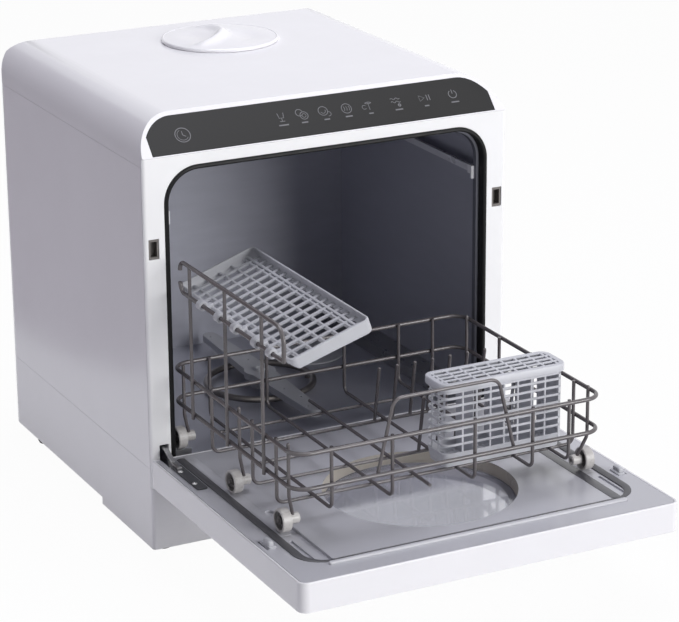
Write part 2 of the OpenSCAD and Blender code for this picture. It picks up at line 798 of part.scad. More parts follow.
// Tall frame on the left with the rod that carries the cup shelf.
frame_x = -rack_half - rim_r - wire_r + 0.1;
frame_posts = [front_y - 33, front_y - 117, front_y - 201];
rod_y0 = front_y - 250;
rod_y1 = front_y - 20;
module side_frame() {
    r = 16;
    hook = 10;
    color(wire_colour) {
        wire_y([frame_x, rod_y0 + r, frame_top_z], rod_y1 - rod_y0 - r, rim_r);
        translate([frame_x, rod_y0 + r, frame_top_z - r]) rotate([0, 90, 0]) rotate([0, 0, 180])
            rotate_extrude(angle = 90) translate([r, 0]) circle(r = rim_r, $fn = 32);
        wire_z([frame_x, rod_y0, rod_z], frame_top_z - r - rod_z, rim_r);
        translate([frame_x, rod_y0, rod_z]) sphere(r = rim_r);
        wire_y([frame_x, rod_y0, rod_z], rod_y1 - rod_y0, rim_r);
        // the rear ends of the top wire and of the rod turn towards each other
        translate([frame_x, rod_y1, frame_top_z - hook]) rotate([0, 90, 0]) rotate([0, 0, 90])
            rotate_extrude(angle = 90) translate([hook, 0]) circle(r = rim_r, $fn = 32);
        translate([frame_x, rod_y1, rod_z + hook]) rotate([0, 90, 0])
            rotate_extrude(angle = 90) translate([hook, 0]) circle(r = rim_r, $fn = 32);
        for (y = frame_posts) wire_z([frame_x + 0.1, y, low_rim_z - 3], frame_top_z - low_rim_z + 3, wire_r);
    }
}

// Raised loop in the middle of the rack's front, its leaning legs welded to both rims.
module front_loop() {
    bend = 12;
    lean = 13.6;
    top_z = 239.5;
    // middle of each bend, and the leg that leaves it along its leaning side
    knee_x = 48.5;
    leg_x = knee_x + bend * cos(lean);
    leg_z = top_z - bend + bend * sin(lean);
    color(wire_colour) translate([-5, rack_front + end_wire_in, 0]) {
        wire_x([-knee_x + hair, 0, top_z], 2 * (knee_x - hair), wire_r);
        both_sides() {
            translate([knee_x, 0, top_z - bend]) rotate([90, 0, 0]) rotate([0, 0, lean])
                rotate_extrude(angle = 90 - lean) translate([bend, 0]) circle(r = wire_r, $fn = 32);
            translate([leg_x, 0, leg_z]) rotate([0, 180 - lean, 0]) translate([0, 0, hair])
                cylinder(r = wire_r, h = (leg_z - low_rim_z + 2) / cos(lean));
        }
    }
}

// Two rows of upright tines that hold the plates apart.
module plate_tines() {
    color(wire_colour) for (y = [side_spots[1], side_spots[2]], k = [0:6])
        translate([18 + k * 21, y, floor_x_z + 1]) rotate([10, 0, 0]) {
            cylinder(r = wire_r, h = 62);
            translate([0, 0, 62]) sphere(r = wire_r);
        }
}

// Bent wire legs welded to both rims, each with a plastic boss and one axle.
leg_bend_z = 150;
leg_lead = 8;
boss_x = wheel_x - wheel_w / 2 - 11.5;
module wheel_clips() {
    color(grey) for (y = wheel_ys) both_sides() {
        wire_z([side_wire_x, y - leg_lead, leg_bend_z], rim_z + 4 - leg_bend_z, wire_r);
        translate([side_wire_x, y - leg_lead, leg_bend_z]) sphere(r = wire_r + 0.15);
        wire_between([side_wire_x, y - leg_lead, leg_bend_z], [boss_x + 4, y, wheel_z], wire_r);
        wire_x([boss_x, y, wheel_z], 11, 5.5);
        wire_x([boss_x + 8, y, wheel_z], wheel_w + 5, axle_r);
        wire_x([wheel_x + wheel_w / 2 + 0.3, y, wheel_z], 1, axle_r + 0.8);
    }
}

// Wheel with a tread, a thin web and a hub, on its axle at the given side and place.
module wheel(side, index) {
    color("#C4C1BE") translate([side * wheel_x, wheel_ys[index], wheel_z]) rotate([0, 90, 0])
        difference() {
            cylinder(r = wheel_r, h = wheel_w, center = true);
            for (s = [-1, 1]) translate([0, 0, s * (wheel_w / 2 + 0.5)]) difference() {
                cylinder(r = wheel_r - 2.6, h = 6, center = true);
                cylinder(r = 4.6, h = 8, center = true);
                for (k = [0:2]) rotate([0, 0, 60 * k]) cube([2 * wheel_r, 2, 8], center = true);
            }
            cylinder(r = axle_r + bore_fit, h = 20, center = true);
        }
}
module wheel_front_left() { wheel(-1, 0); }
module wheel_front_right() { wheel(1, 0); }
module wheel_mid_left() { wheel(-1, 1); }
module wheel_mid_right() { wheel(1, 1); }
module wheel_rear_left() { wheel(-1, 2); }
module wheel_rear_right() { wheel(1, 2); }

// Cup shelf, drawn level with its rod along Y at the origin, then tilted.
shelf_in = 8;
shelf_w = 98;
shelf_len = 262;
shelf_y0 = rod_y0 + 5;
shelf_top = -5;
shelf_h = 15;
shelf_wall = 2.6;
clip_spots = [18.5, 51.5, 98.5, 136.5, 178.5];
module cup_shelf() {
    wide = shelf_w - shelf_in;
    wall = shelf_wall;
    low = shelf_top - shelf_h;
    in_x = shelf_in + wall + hair;
    in_y = wall + hair;
    color("#B4B5BA") translate([frame_x, shelf_y0, rod_z]) rotate([0, -shelf_tilt, 0]) {
        // side walls, then end walls between them
        for (x = [shelf_in, shelf_w - wall]) translate([x, 0, low]) cube([wall, shelf_len, shelf_h]);
        for (y = [0, shelf_len - wall]) box([in_x, y, low], [shelf_w - wall - hair, y + wall, shelf_top]);
        // slats, on ribs
        for (k = [1:5]) translate([shelf_in + k * wide / 6 - 1.5, in_y, shelf_top - 9])
            cube([3, shelf_len - 2 * in_y, 2.6]);
        for (k = [1:9]) box([in_x, k * shelf_len / 10 - 1, shelf_top - 12],
            [shelf_w - wall - hair, k * shelf_len / 10 + 1, shelf_top - 9 - hair]);
        for (y = clip_spots) difference() {
            union() {
                wire_y([0, y, 0], 9, 5);
                box([0, y, -8], [shelf_in - hair, y + 9, -2]);
            }
            wire_y([0, y - 1, 0], 12, rim_r + bore_fit);
        }
    }
}

// Cutlery basket: walls and floor of open grid, three dividers and a rim that stands out.
basket_x0 = 10;
basket_w = 138;
basket_d = 39;
basket_h = 88.4;
basket_y0 = rack_front + 36;
basket_z0 = floor_y_z + wire_r + 0.4;
basket_t = 2;
rim_out = 3;
rim_drop = 7;
module grid_2d(w, h, nx, ny, bar) {
    px = (w - bar) / nx;
    py = (h - bar) / ny;
    difference() {
        square([w, h]);
        for (i = [0:nx - 1], j = [0:ny - 1])
            translate([bar + i * px, bar + j * py]) square([px - bar, py - bar]);
    }
}
module cutlery_basket() {
    t = basket_t;
    in = t + hair;
    low = basket_h + 1 - rim_drop;
    color("#C9CACE") translate([basket_x0, basket_y0, basket_z0]) {
        for (y = [t, basket_d]) translate([0, y, 0]) rotate([90, 0, 0])
            linear_extrude(t) grid_2d(basket_w, basket_h, 12, 8, 2);
        for (x = [0, basket_w - t]) translate([x, in, 0]) rotate([90, 0, 90])
            linear_extrude(t) grid_2d(basket_d - 2 * in, basket_h, 3, 8, 2);
        translate([in, in, 0]) linear_extrude(t) grid_2d(basket_w - 2 * in, basket_d - 2 * in, 12, 3, 2.6);
        for (k = [1:3])
            box([k * basket_w / 4 - 0.8, in, in], [k * basket_w / 4 + 0.8, basket_d - in, basket_h]);
        for (y = [-rim_out, basket_d + hair]) translate([-rim_out, y, low])
            cube([basket_w + 2 * rim_out, rim_out - hair, rim_drop]);
        for (x = [-rim_out, basket_w + hair]) translate([x, 0, low])
            cube([rim_out - hair, basket_d, rim_drop]);
    }
}

// ---------------------------------------------------------------- spray arms, filter, cap

// Flat hollow arm seen from above: two tapered blades and a hub, with a round bore.
module spray_arm(reach, z0, h, bore) {
    difference() {
        union() {
            translate([0, 0, z0]) linear_extrude(h) polygon([
                [-reach, -8], [-reach, 8], [-14, 14], [14, 14], [reach, 8], [reach, -8], [14, -14], [-14, -14]
            ]);
            translate([0, 0, z0]) cylinder(r = 18, h = h);
            for (s = [-1, 1]) translate([s * reach, 0, z0]) cylinder(r = 8, h = h);
        }
        translate([0, 0, z0 - 1]) cylinder(r = bore, h = h + 2);
        for (s = [-1, 1], k = [0:3]) translate([s * (38 + k * 30), (k % 2) * 6 - 3, z0 + h - 2])
            cylinder(r = 1.6, h = 5);
    }
}

module lower_spray_arm() {
    color(grey) translate([0, arm_y, 0]) rotate([0, 0, 90]) spray_arm(136, 109, 8, 6.08);
}

module upper_spray_arm() {
    color(grey) translate([0, upper_arm_y, 0]) spray_arm(130, riser_z - 14.4, 7, 6.08);
}

module filter_cup() {
    color("#A0A1A6") translate([filter_x, filter_y, 0]) difference() {
        union() {
            translate([0, 0, 54]) cylinder(r = filter_r - 2, h = 46);
            translate([0, 0, tub_floor + 0.3]) cylinder(r = filter_r + 4, h = 1.8);
            translate([0, 0, tub_floor + 2]) difference() {
                cube([3, 40, 10], center = true);
                translate([0, 0, 10]) cube([4, 50, 10], center = true);
            }
        }
        translate([0, 0, 57]) cylinder(r = filter_r - 5, h = 40);
    }
}

// Round cap: a plug that drops into the neck, a shallow dome and an S-shaped grip on it.
module filler_cap() {
    color(white) translate([cap_x, cap_y, body_h + 0.3]) {
        cylinder(r1 = cap_r, r2 = cap_r - 2, h = 3);
        translate([0, 0, 3]) cylinder(r1 = cap_r - 5, r2 = cap_r - 12, h = 3);
        translate([0, 0, -14]) cylinder(r = neck_r - 0.5, h = 15);
        for (s = [-1, 1]) translate([s * 26, 0, 5]) rotate([0, 0, s > 0 ? 0 : 180]) rotate_extrude(angle = 180)
            translate([26, 0]) polygon([[-5, 0], [5, 0], [2.4, 7], [-2.4, 7]]);
    }
}

top_cover();
left_side_panel();
right_side_panel();
back_panel();
base_skirt();
base_pan();
front_frame();
control_glass();
control_board();
tub();
door_seal();
upper_rails();
rail_end_clips();
lower_rails();
latch_catches();
hinge_brackets();
hinge_pins();
door_springs();
feet();
filler_neck();
water_tank();
sump();
wash_pump();
drain_pump();
heater();
spray_spindle();
spray_riser();
inlet_valve();
drain_outlet();
cable_gland();
case_screws();
fan_housing();
door_outer_panel();
door_liner();
window_glass();
window_ring();
door_gasket();
hinge_arms();
hinge_screws();
latch_hooks();
rack_rims();
rack_floor_wires();
rack_uprights();
side_frame();
front_loop();
plate_tines();
wheel_clips();
wheel_front_left();
wheel_front_right();
wheel_mid_left();
wheel_mid_right();
wheel_rear_left();
wheel_rear_right();
cup_shelf();
cutlery_basket();
lower_spray_arm();
upper_spray_arm();
filter_cup();
filler_cap();
fan_rotor();
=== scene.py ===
import math

import bmesh
import bpy
import numpy as np
from mathutils import Matrix, Vector


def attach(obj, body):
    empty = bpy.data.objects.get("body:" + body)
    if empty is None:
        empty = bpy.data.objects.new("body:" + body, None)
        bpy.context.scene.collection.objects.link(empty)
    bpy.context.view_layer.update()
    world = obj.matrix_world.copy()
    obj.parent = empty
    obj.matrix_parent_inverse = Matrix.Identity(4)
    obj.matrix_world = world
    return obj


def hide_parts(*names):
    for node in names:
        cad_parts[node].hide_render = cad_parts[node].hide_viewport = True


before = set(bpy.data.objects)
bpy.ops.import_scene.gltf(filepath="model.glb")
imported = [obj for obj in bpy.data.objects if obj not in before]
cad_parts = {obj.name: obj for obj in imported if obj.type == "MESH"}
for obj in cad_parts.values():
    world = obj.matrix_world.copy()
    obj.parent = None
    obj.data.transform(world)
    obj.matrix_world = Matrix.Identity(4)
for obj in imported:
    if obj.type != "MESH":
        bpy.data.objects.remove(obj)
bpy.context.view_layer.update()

# Looks of a countertop dishwasher stored open, with its rack rolled out onto the door.
# Sizes below are in millimetres, in the frame of the solids: X right, Y back, Z up.
MM = 0.001


def link_object(name, data):
    """New object of the scene that holds this data."""
    made = bpy.data.objects.new(name, data)
    bpy.context.scene.collection.objects.link(made)
    return made


# ------------------------------------------------------------------ camera

CAMERA_AZIMUTH, CAMERA_ELEVATION, CAMERA_ROLL = -26.88, 18.8, -0.45
CAMERA_DISTANCE = 2790.3
CAMERA_TARGET = (-5.4, -64.7, 250.5)
FOCAL_PX, FRAME_WIDTH_PX, SENSOR = 2681.2, 679, 36.0
CLIP_NEAR, CLIP_FAR = 0.05, 60


def place_camera():
    """Camera on a sphere round the target: back vector from azimuth and elevation, then a roll."""
    a, e, r = (math.radians(v) for v in (CAMERA_AZIMUTH, CAMERA_ELEVATION, CAMERA_ROLL))
    back = Vector((math.sin(a) * math.cos(e), -math.cos(a) * math.cos(e), math.sin(e)))
    right = (-back).cross(Vector((0, 0, 1))).normalized()
    up = right.cross(-back)
    side = right * math.cos(r) + up * math.sin(r)
    top = up * math.cos(r) - right * math.sin(r)
    camera = link_object("camera", bpy.data.cameras.new("camera"))
    camera.data.sensor_width = SENSOR
    camera.data.lens = FOCAL_PX * SENSOR / FRAME_WIDTH_PX
    camera.data.clip_start, camera.data.clip_end = CLIP_NEAR, CLIP_FAR
    turn = Matrix((side, top, back)).transposed().to_4x4()
    stand = (Vector(CAMERA_TARGET) + back * CAMERA_DISTANCE) * MM
    camera.matrix_world = Matrix.Translation(stand) @ turn
    bpy.context.scene.camera = camera


place_camera()

# ------------------------------------------------------------------ materials


def linear(colour, alpha=1.0):
    """sRGB hex colour as linear RGBA: c / 12.92 where dark, else ((c + 0.055) / 1.055) ** 2.4."""
    parts = [int(colour[k:k + 2], 16) / 255 for k in (1, 3, 5)]
    return (*[c / 12.92 if c < 0.04045 else ((c + 0.055) / 1.055) ** 2.4 for c in parts], alpha)


def add(tree, kind, inputs=(), **settings):
    """Adds one node to a tree: settings are its properties, inputs its sockets' values or links."""
    made = tree.nodes.new(kind)
    for name, value in settings.items():
        setattr(made, name, value)
    for socket, value in dict(inputs).items():
        if isinstance(value, bpy.types.NodeSocket):
            tree.links.new(value, made.inputs[socket])
        else:
            made.inputs[socket].default_value = value
    return made


def per_metre(size_mm):
    """Noise scale that gives features of this size in millimetres on Object coordinates in metres."""
    return 1.0 / (size_mm * MM)


def start(name):
    """New node material with its tree, its Principled shader and its Object coordinates."""
    material = bpy.data.materials.new(name)
    material.use_nodes = True
    tree = material.node_tree
    shader = tree.nodes["Principled BSDF"]
    place = add(tree, "ShaderNodeTexCoord").outputs["Object"]
    return material, tree, shader, place


DRIFT_RANGE, DUST_RANGE = (0.3, 0.7), (0.52, 0.75)
BUMP_STRENGTH, LEAST_ROUGHNESS = 0.6, 0.02


def spread(tree, value, source, target):
    """Value mapped from one range, held to its ends, onto another."""
    return add(tree, "ShaderNodeMapRange",
               {"Value": value, "From Min": source[0], "From Max": source[1],
                "To Min": target[0], "To Max": target[1]}).outputs[0]


def surface(name, colour, rough, mottle=0.03, mottle_mm=45, grain_mm=1.2, grain_depth=0.02,
            rough_change=0.05, stretch=(1, 1, 1), dust=None, **sockets):
    """Moulded, coated or drawn surface: a colour that drifts by mottle over mottle_mm, roughness that
    drifts with it, and a grain of grain_mm that stands grain_depth millimetres high.
    stretch scales the pattern along each axis, for drawn or brushed metal."""
    material, tree, shader, place = start(name)
    if stretch != (1, 1, 1):
        place = add(tree, "ShaderNodeMapping", {"Vector": place, "Scale": stretch}).outputs[0]
    drift = add(tree, "ShaderNodeTexNoise", {"Vector": place, "Scale": per_metre(mottle_mm),
                                             "Detail": 4.0, "Roughness": 0.55}).outputs["Fac"]
    grain = add(tree, "ShaderNodeTexNoise", {"Vector": place, "Scale": per_metre(grain_mm),
                                             "Detail": 2.0}).outputs["Fac"]
    shade = spread(tree, drift, DRIFT_RANGE, (1 - mottle, 1 + mottle))
    result = add(tree, "ShaderNodeVectorMath", {0: linear(colour)[:3], 3: shade},
                 operation="SCALE").outputs[0]
    if dust:
        dust_colour, dust_mm, dust_share = dust
        wear = add(tree, "ShaderNodeTexNoise", {"Vector": place, "Scale": per_metre(dust_mm),
                                                "Detail": 6.0}).outputs["Fac"]
        amount = spread(tree, wear, DUST_RANGE, (0.0, dust_share))
        result = add(tree, "ShaderNodeMix",
                     {"Factor": amount, "A": result, "B": linear(dust_colour)[:3]},
                     data_type="VECTOR").outputs[1]
    tree.links.new(result, shader.inputs["Base Color"])
    gloss = spread(tree, drift, DRIFT_RANGE,
                   (max(rough - rough_change, LEAST_ROUGHNESS), rough + rough_change))
    tree.links.new(gloss, shader.inputs["Roughness"])
    relief = add(tree, "ShaderNodeBump",
                 {"Height": grain, "Strength": BUMP_STRENGTH, "Distance": grain_depth * MM})
    tree.links.new(relief.outputs[0], shader.inputs["Normal"])
    for socket, value in sockets.items():
        shader.inputs[socket.replace("_", " ")].default_value = value
    return material


# Injection-moulded glossy white ABS: a clean gloss with faint orange peel, slightly blue.
white_abs = surface("gloss_white_abs", "#F2F1F4", 0.2, mottle=0.008, mottle_mm=90, grain_mm=2.2,
                    grain_depth=0.012, rough_change=0.03, IOR=1.53)
# The front frame is moulded in the same white ABS as the panels round it, but given a brighter white:
# painted light, for the extra light that falls on the frame.
frame_abs_painted_light = surface("white_abs_painted_light", "#FEFEFF", 0.2, mottle=0.006, mottle_mm=90, grain_mm=2.2,
                    grain_depth=0.012, rough_change=0.03, IOR=1.53)
# Satin light grey polypropylene of the door liner: soft gloss, faint flow marks.
liner_pp = surface("satin_grey_pp", "#C1C1C7", 0.22, mottle=0.015, mottle_mm=90, grain_mm=1.4,
                   grain_depth=0.015, rough_change=0.03, IOR=1.49)
# Darker, glossier polypropylene strip in the liner's channel: its dark grey is painted shade, standing
# for the channel's shadow.
channel_shade_pp = surface("painted_channel_shade", "#55555A", 0.25, mottle=0.03, mottle_mm=30, grain_mm=1.4,
                        grain_depth=0.02, rough_change=0.04, IOR=1.49)
# Moulded grey polypropylene of the shelf, clips and spray arms.
grey_pp = surface("moulded_grey_pp", "#BFC0C5", 0.36, mottle=0.025, mottle_mm=25, grain_mm=0.8,
                  grain_depth=0.02, rough_change=0.05, IOR=1.49)
# Pale grey polypropylene of the cutlery basket.
basket_pp = surface("moulded_pale_pp", "#CCCDD3", 0.38, mottle=0.02, mottle_mm=25, grain_mm=0.8,
                    grain_depth=0.02, rough_change=0.05, IOR=1.49)
# Glass-filled dark polypropylene of pumps and housings: coarse, dull.
dark_pp = surface("glass_filled_dark_pp", "#3C3D41", 0.5, mottle=0.06, mottle_mm=14, grain_mm=0.7,
                  grain_depth=0.05, rough_change=0.08, IOR=1.49)
# Back-printed tempered glass of the control strip: near black, soft sheen.
panel_glass = surface("black_printed_glass", "#222222", 0.42, mottle=0.01, mottle_mm=60, grain_mm=3,
                      grain_depth=0.002, rough_change=0.03, IOR=1.5, Specular_IOR_Level=0.25)
# Brushed stainless steel of the tub: soft streaks across its walls.
tub_steel = surface("brushed_stainless_tub", "#A9AAB5", 0.36, mottle=0.03, mottle_mm=60, grain_mm=2.0,
                    grain_depth=0.01, rough_change=0.06, stretch=(1, 1, 6), Metallic=0.2)
# Zinc-plated pressed steel of hinges, brackets, pins, rails and screws.
plated_steel = surface("zinc_plated_steel", "#A9A9AB", 0.34, mottle=0.06, mottle_mm=9, grain_mm=0.5,
                       grain_depth=0.02, rough_change=0.1, Metallic=1.0)
# Dull pressed steel of the latch catches, browned by handling and steam.
catch_steel = surface("dull_pressed_steel", "#6E6A68", 0.5, mottle=0.08, mottle_mm=6, grain_mm=0.5,
                      grain_depth=0.02, rough_change=0.1, Metallic=0.5)
# Polished steel of the tub's upper rails.
rail_steel = surface("polished_rail_steel", "#D2D2D6", 0.3, mottle=0.04, mottle_mm=20, grain_mm=0.6,
                     grain_depth=0.01, rough_change=0.05, Metallic=0.4)
# Bead-blasted incoloy sheath of the heater.
heater_steel = surface("incoloy_heater_sheath", "#8C8784", 0.4, mottle=0.08, mottle_mm=8, grain_mm=0.5,
                       grain_depth=0.02, rough_change=0.1, Metallic=1.0)
# Black EPDM rubber of the door seal and feet: dull, slightly dusty.
black_rubber = surface("black_epdm_rubber", "#0D0D0F", 0.5, mottle=0.08, mottle_mm=12, grain_mm=0.6,
                       grain_depth=0.03, rough_change=0.08, dust=("#2C2C2E", 4, 0.15), IOR=1.5,
                       Specular_IOR_Level=0.2)
# Dark grey thermoplastic rubber of the door gasket.
grey_rubber = surface("grey_tpe_gasket", "#4C4C50", 0.45, mottle=0.05, mottle_mm=14, grain_mm=0.7,
                      grain_depth=0.02, rough_change=0.08, IOR=1.5)
# Nylon-dipped steel wire: thick warm grey coat with soft runs.
nylon_wire = surface("nylon_coated_wire", "#5F5A5C", 0.21, mottle=0.05, mottle_mm=9, grain_mm=1.6,
                     grain_depth=0.022, rough_change=0.05, IOR=1.56)
# Green glass-epoxy board with a glossy solder mask.
board_green = surface("solder_mask_board", "#2F5D3A", 0.3, mottle=0.08, mottle_mm=6, grain_mm=0.8,
                      grain_depth=0.05, IOR=1.5)
# Natural blow-moulded polyethylene of the water tank: milky, waxy.
tank_pe = surface("natural_pe_tank", "#DDE0E4", 0.4, mottle=0.03, mottle_mm=30, grain_mm=1.5,
                  grain_depth=0.05, IOR=1.51, Transmission_Weight=0.35)
# Clear moulded polycarbonate of the window.
clear_pc = surface("clear_polycarbonate", "#C6C7D0", 0.06, mottle=0.01, mottle_mm=40, grain_mm=4,
                   grain_depth=0.003, rough_change=0.02, IOR=1.585, Transmission_Weight=0.9)
# Dark acetal of the wheels' webs and axles: satin, a little worn.
wheel_dark = surface("moulded_dark_grey_acetal", "#5E5B5A", 0.4, mottle=0.05, mottle_mm=6, grain_mm=0.8,
                     grain_depth=0.03, rough_change=0.08, IOR=1.48)
# Pale acetal of the wheels' treads and bosses: waxy, lightly scuffed by rolling.
wheel_pale = surface("pale_acetal", "#C9C6C4", 0.35, mottle=0.04, mottle_mm=6, grain_mm=0.7,
                     grain_depth=0.03, rough_change=0.08, dust=("#8F8B88", 2.5, 0.35), IOR=1.48)
# Rolled stainless lip of the tub: brushed along, darker than the walls.
lip_steel = surface("brushed_stainless_lip", "#6C6D76", 0.36, mottle=0.05, mottle_mm=30, grain_mm=1.5,
                    grain_depth=0.01, rough_change=0.06, Metallic=0.6)
# Satin polypropylene of the window's dished lip, a little warmer where the pan behind shows through.
dish_pp = surface("satin_warm_grey_pp", "#BDB6AC", 0.3, mottle=0.03, mottle_mm=40, grain_mm=1.4,
                  grain_depth=0.02, rough_change=0.05, IOR=1.49)
# Screen-printed grey ink of the panel's marks: flat, a little uneven.
panel_ink = surface("screen_printed_grey_ink", "#707074", 0.6, mottle=0.08, mottle_mm=3, grain_mm=0.5,
                    grain_depth=0.005, rough_change=0.05, IOR=1.5)


NODE_MATERIALS = {
    frame_abs_painted_light: ["front_frame"],
    white_abs: ["top_cover", "left_side_panel", "right_side_panel", "back_panel", "base_skirt",
                "door_outer_panel", "window_ring", "filler_cap", "filler_neck", "rail_end_clips"],
    liner_pp: ["door_liner"],
    grey_pp: ["latch_hooks", "wheel_clips", "cup_shelf", "lower_spray_arm", "upper_spray_arm",
              "spray_riser", "spray_spindle", "filter_cup", "inlet_valve", "drain_outlet", "base_pan"],
    basket_pp: ["cutlery_basket"],
    dark_pp: ["sump", "wash_pump", "drain_pump", "fan_housing", "fan_rotor", "cable_gland"],
    panel_glass: ["control_glass"],
    tub_steel: ["tub"],
    plated_steel: ["lower_rails", "hinge_brackets", "hinge_pins", "door_springs", "hinge_arms",
                   "hinge_screws", "case_screws"],
    heater_steel: ["heater"],
    catch_steel: ["latch_catches"],
    rail_steel: ["upper_rails"],
    black_rubber: ["door_seal", "feet"],
    grey_rubber: ["door_gasket"],
    nylon_wire: ["rack_rims", "rack_floor_wires", "rack_uprights", "side_frame", "front_loop",
                 "plate_tines"],
    board_green: ["control_board"],
    tank_pe: ["water_tank"],
    clear_pc: ["window_glass"],
    wheel_pale: ["wheel_" + row + "_" + side
                 for row in ("front", "mid", "rear") for side in ("left", "right")],
}


def wear(piece, material):
    """Gives a piece one material in all its slots."""
    if piece.data.materials:
        for k in range(len(piece.data.materials)):
            piece.data.materials[k] = material
    else:
        piece.data.materials.append(material)


for material, names in NODE_MATERIALS.items():
    for name in names:
        wear(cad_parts[name], material)

# ------------------------------------------------------------------ shapes


def publish(name, parts, body, material, crease=35, stands_for=()):
    """Makes one piece of (points, faces) parts given in millimetres, with faces turned outwards,
    smooth across edges flatter than crease degrees, and lets it ride on a body."""
    points, faces, first = [], [], 0
    for part_points, part_faces in parts:
        points.append(np.asarray(part_points, float).reshape(-1, 3))
        faces += [tuple(int(k) + first for k in face) for face in part_faces]
        first += len(points[-1])
    mesh = bpy.data.meshes.new(name)
    mesh.from_pydata(np.vstack(points) * MM, [], faces)
    work = bmesh.new()
    work.from_mesh(mesh)
    bmesh.ops.recalc_face_normals(work, faces=work.faces)
    work.to_mesh(mesh)
    work.free()
    mesh.polygons.foreach_set("use_smooth", np.ones(len(mesh.polygons), bool))
    mesh.set_sharp_from_angle(angle=math.radians(crease))
    mesh.materials.append(material)
    piece = link_object(name, mesh)
    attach(piece, body)
    if stands_for:
        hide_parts(*stands_for)
    return piece


def skin(loops, ends="caps"):
    """Surface over matched loops, an array of rows by points by 3: quads join neighbouring rows.
    ends is "caps" for a flat face on the first and last loop, "ring" to join last to first."""
    loops = np.asarray(loops, float)
    rows, count = loops.shape[:2]
    steps = rows if ends == "ring" else rows - 1
    i, j = np.meshgrid(np.arange(steps), np.arange(count), indexing="ij")
    i2, j2 = (i + 1) % rows, (j + 1) % count
    quads = np.stack([i * count + j, i2 * count + j, i2 * count + j2, i * count + j2], -1)
    faces = [tuple(q) for q in quads.reshape(-1, 4)]
    if ends == "caps":
        faces += [tuple(range(count)), tuple(range((rows - 1) * count, rows * count))[::-1]]
    return loops.reshape(-1, 3), faces


def bent(corners, bends, closed=False, steps=7):
    """Path through corners, each replaced by the arc of its bend radius that touches both its sides:
    arc point = first + radius * (sin(t) * into + (1 - cos(t)) * away), t from 0 to the path's turn."""
    corners = [np.asarray(c, float) for c in corners]
    count = len(corners)
    bends = [bends] * count if np.isscalar(bends) else bends
    path = []
    for k, (corner, radius) in enumerate(zip(corners, bends)):
        if not closed and k in (0, count - 1):
            path.append(corner[None])
            continue
        into = corner - corners[k - 1]
        out = corners[(k + 1) % count] - corner
        into, out = into / np.linalg.norm(into), out / np.linalg.norm(out)
        turn = math.acos(max(-1.0, min(1.0, float(into @ out))))
        away = out - into * math.cos(turn)
        away /= np.linalg.norm(away)
        t = np.linspace(0, turn, steps)[:, None]
        first = corner - into * radius * math.tan(turn / 2)
        path.append(first + radius * (np.sin(t) * into + (1 - np.cos(t)) * away))
    return np.vstack(path)


def carried(path, normal, profile, closed=False, size=None):
    """Profile carried along a path in one plane: point + size * (a * side + b * normal) for each
    profile point (a, b), where side is the path's direction crossed with the plane's normal."""
    path, normal = np.asarray(path, float), np.asarray(normal, float)
    normal = normal / np.linalg.norm(normal)
    ahead = np.roll(path, -1, 0) - np.roll(path, 1, 0)
    if not closed:
        ahead[0], ahead[-1] = path[1] - path[0], path[-1] - path[-2]
    ahead /= np.linalg.norm(ahead, axis=1, keepdims=True)
    side = np.cross(ahead, normal)
    size = np.ones(len(path)) if size is None else size
    profile = np.asarray(profile, float)
    loops = (path[:, None] + size[:, None, None] * (profile[None, :, :1] * side[:, None]
                                                    + profile[None, :, 1:] * normal))
    return skin(loops, "ring" if closed else "caps")


def disc(radius, sides):
    """Circle of points (radius * cos(t), radius * sin(t))."""
    t = np.arange(sides) * 2 * np.pi / sides
    return np.stack([radius * np.cos(t), radius * np.sin(t)], 1)


def flat_bar(half_wide, half_high, ease):
    """Profile of a bar with eased corners: eight points, each ease away from a rectangle's corner."""
    w, h, e = half_wide, half_high, ease
    return np.array([(w, h - e), (w - e, h), (e - w, h), (-w, h - e),
                     (-w, e - h), (e - w, -h), (w - e, -h), (w, e - h)])


def wire(path, normal, radius, closed=False, sides=12):
    """Round wire along a path in one plane, with domed ends: near an end the size is the cosine of an
    angle that runs to nearly 90 degrees while the path moves on by radius times its sine."""
    path = np.asarray(path, float)
    if closed:
        return carried(path, normal, disc(radius, sides), True)
    rise = np.radians([30, 60, 80])
    first = (path[0] - path[1]) / np.linalg.norm(path[0] - path[1])
    last = (path[-1] - path[-2]) / np.linalg.norm(path[-1] - path[-2])
    head = path[0] + radius * np.sin(rise[::-1])[:, None] * first
    tail = path[-1] + radius * np.sin(rise)[:, None] * last
    size = np.concatenate([np.cos(rise[::-1]), np.ones(len(path)), np.cos(rise)])
    return carried(np.vstack([head, path, tail]), normal, disc(radius, sides), False, size)


def turned(profile, centre, axis="Z", sides=48, closed=True):
    """Turned shape: each profile point (radius, height) swept round the axis through centre, at
    (radius * cos(t), radius * sin(t), height). A closed profile makes a ring, an open one a solid."""
    profile = np.asarray(profile, float)
    t = np.arange(sides) * 2 * np.pi / sides
    r, h = profile[:, :1], profile[:, 1:]
    loops = np.stack([r * np.cos(t), r * np.sin(t), h + 0 * t], -1)
    if axis == "X":
        loops = loops[..., [2, 0, 1]]
    elif axis == "Y":
        loops = loops[..., [1, 2, 0]]
    return skin(loops + np.asarray(centre, float), "ring" if closed else "caps")


def rounded_loop(x0, x1, y0, y1, radius, z, steps=6):
    """Level rounded rectangle, counterclockwise from its right side: four arcs of steps + 1 points."""
    t = np.linspace(0, np.pi / 2, steps + 1)
    rows = []
    for k, (cx, cy) in enumerate(((x1 - radius, y1 - radius), (x0 + radius, y1 - radius),
                                  (x0 + radius, y0 + radius), (x1 - radius, y0 + radius))):
        a = t + k * np.pi / 2
        rows.append(np.stack([cx + radius * np.cos(a), cy + radius * np.sin(a), np.full_like(a, z)], 1))
    return np.vstack(rows)


def pad(near, far, front, back, corner, rows, side=1, steps=4):
    """Raised pad from near to far of the middle, on the left for side -1: a rounded outline drawn in by
    each inset at each height of its rows."""
    return skin([rounded_loop(*sorted((side * (near + i), side * (far - i))), front + i, back - i,
                              corner, z, steps) for i, z in rows])


EASE_SHARE = 0.3


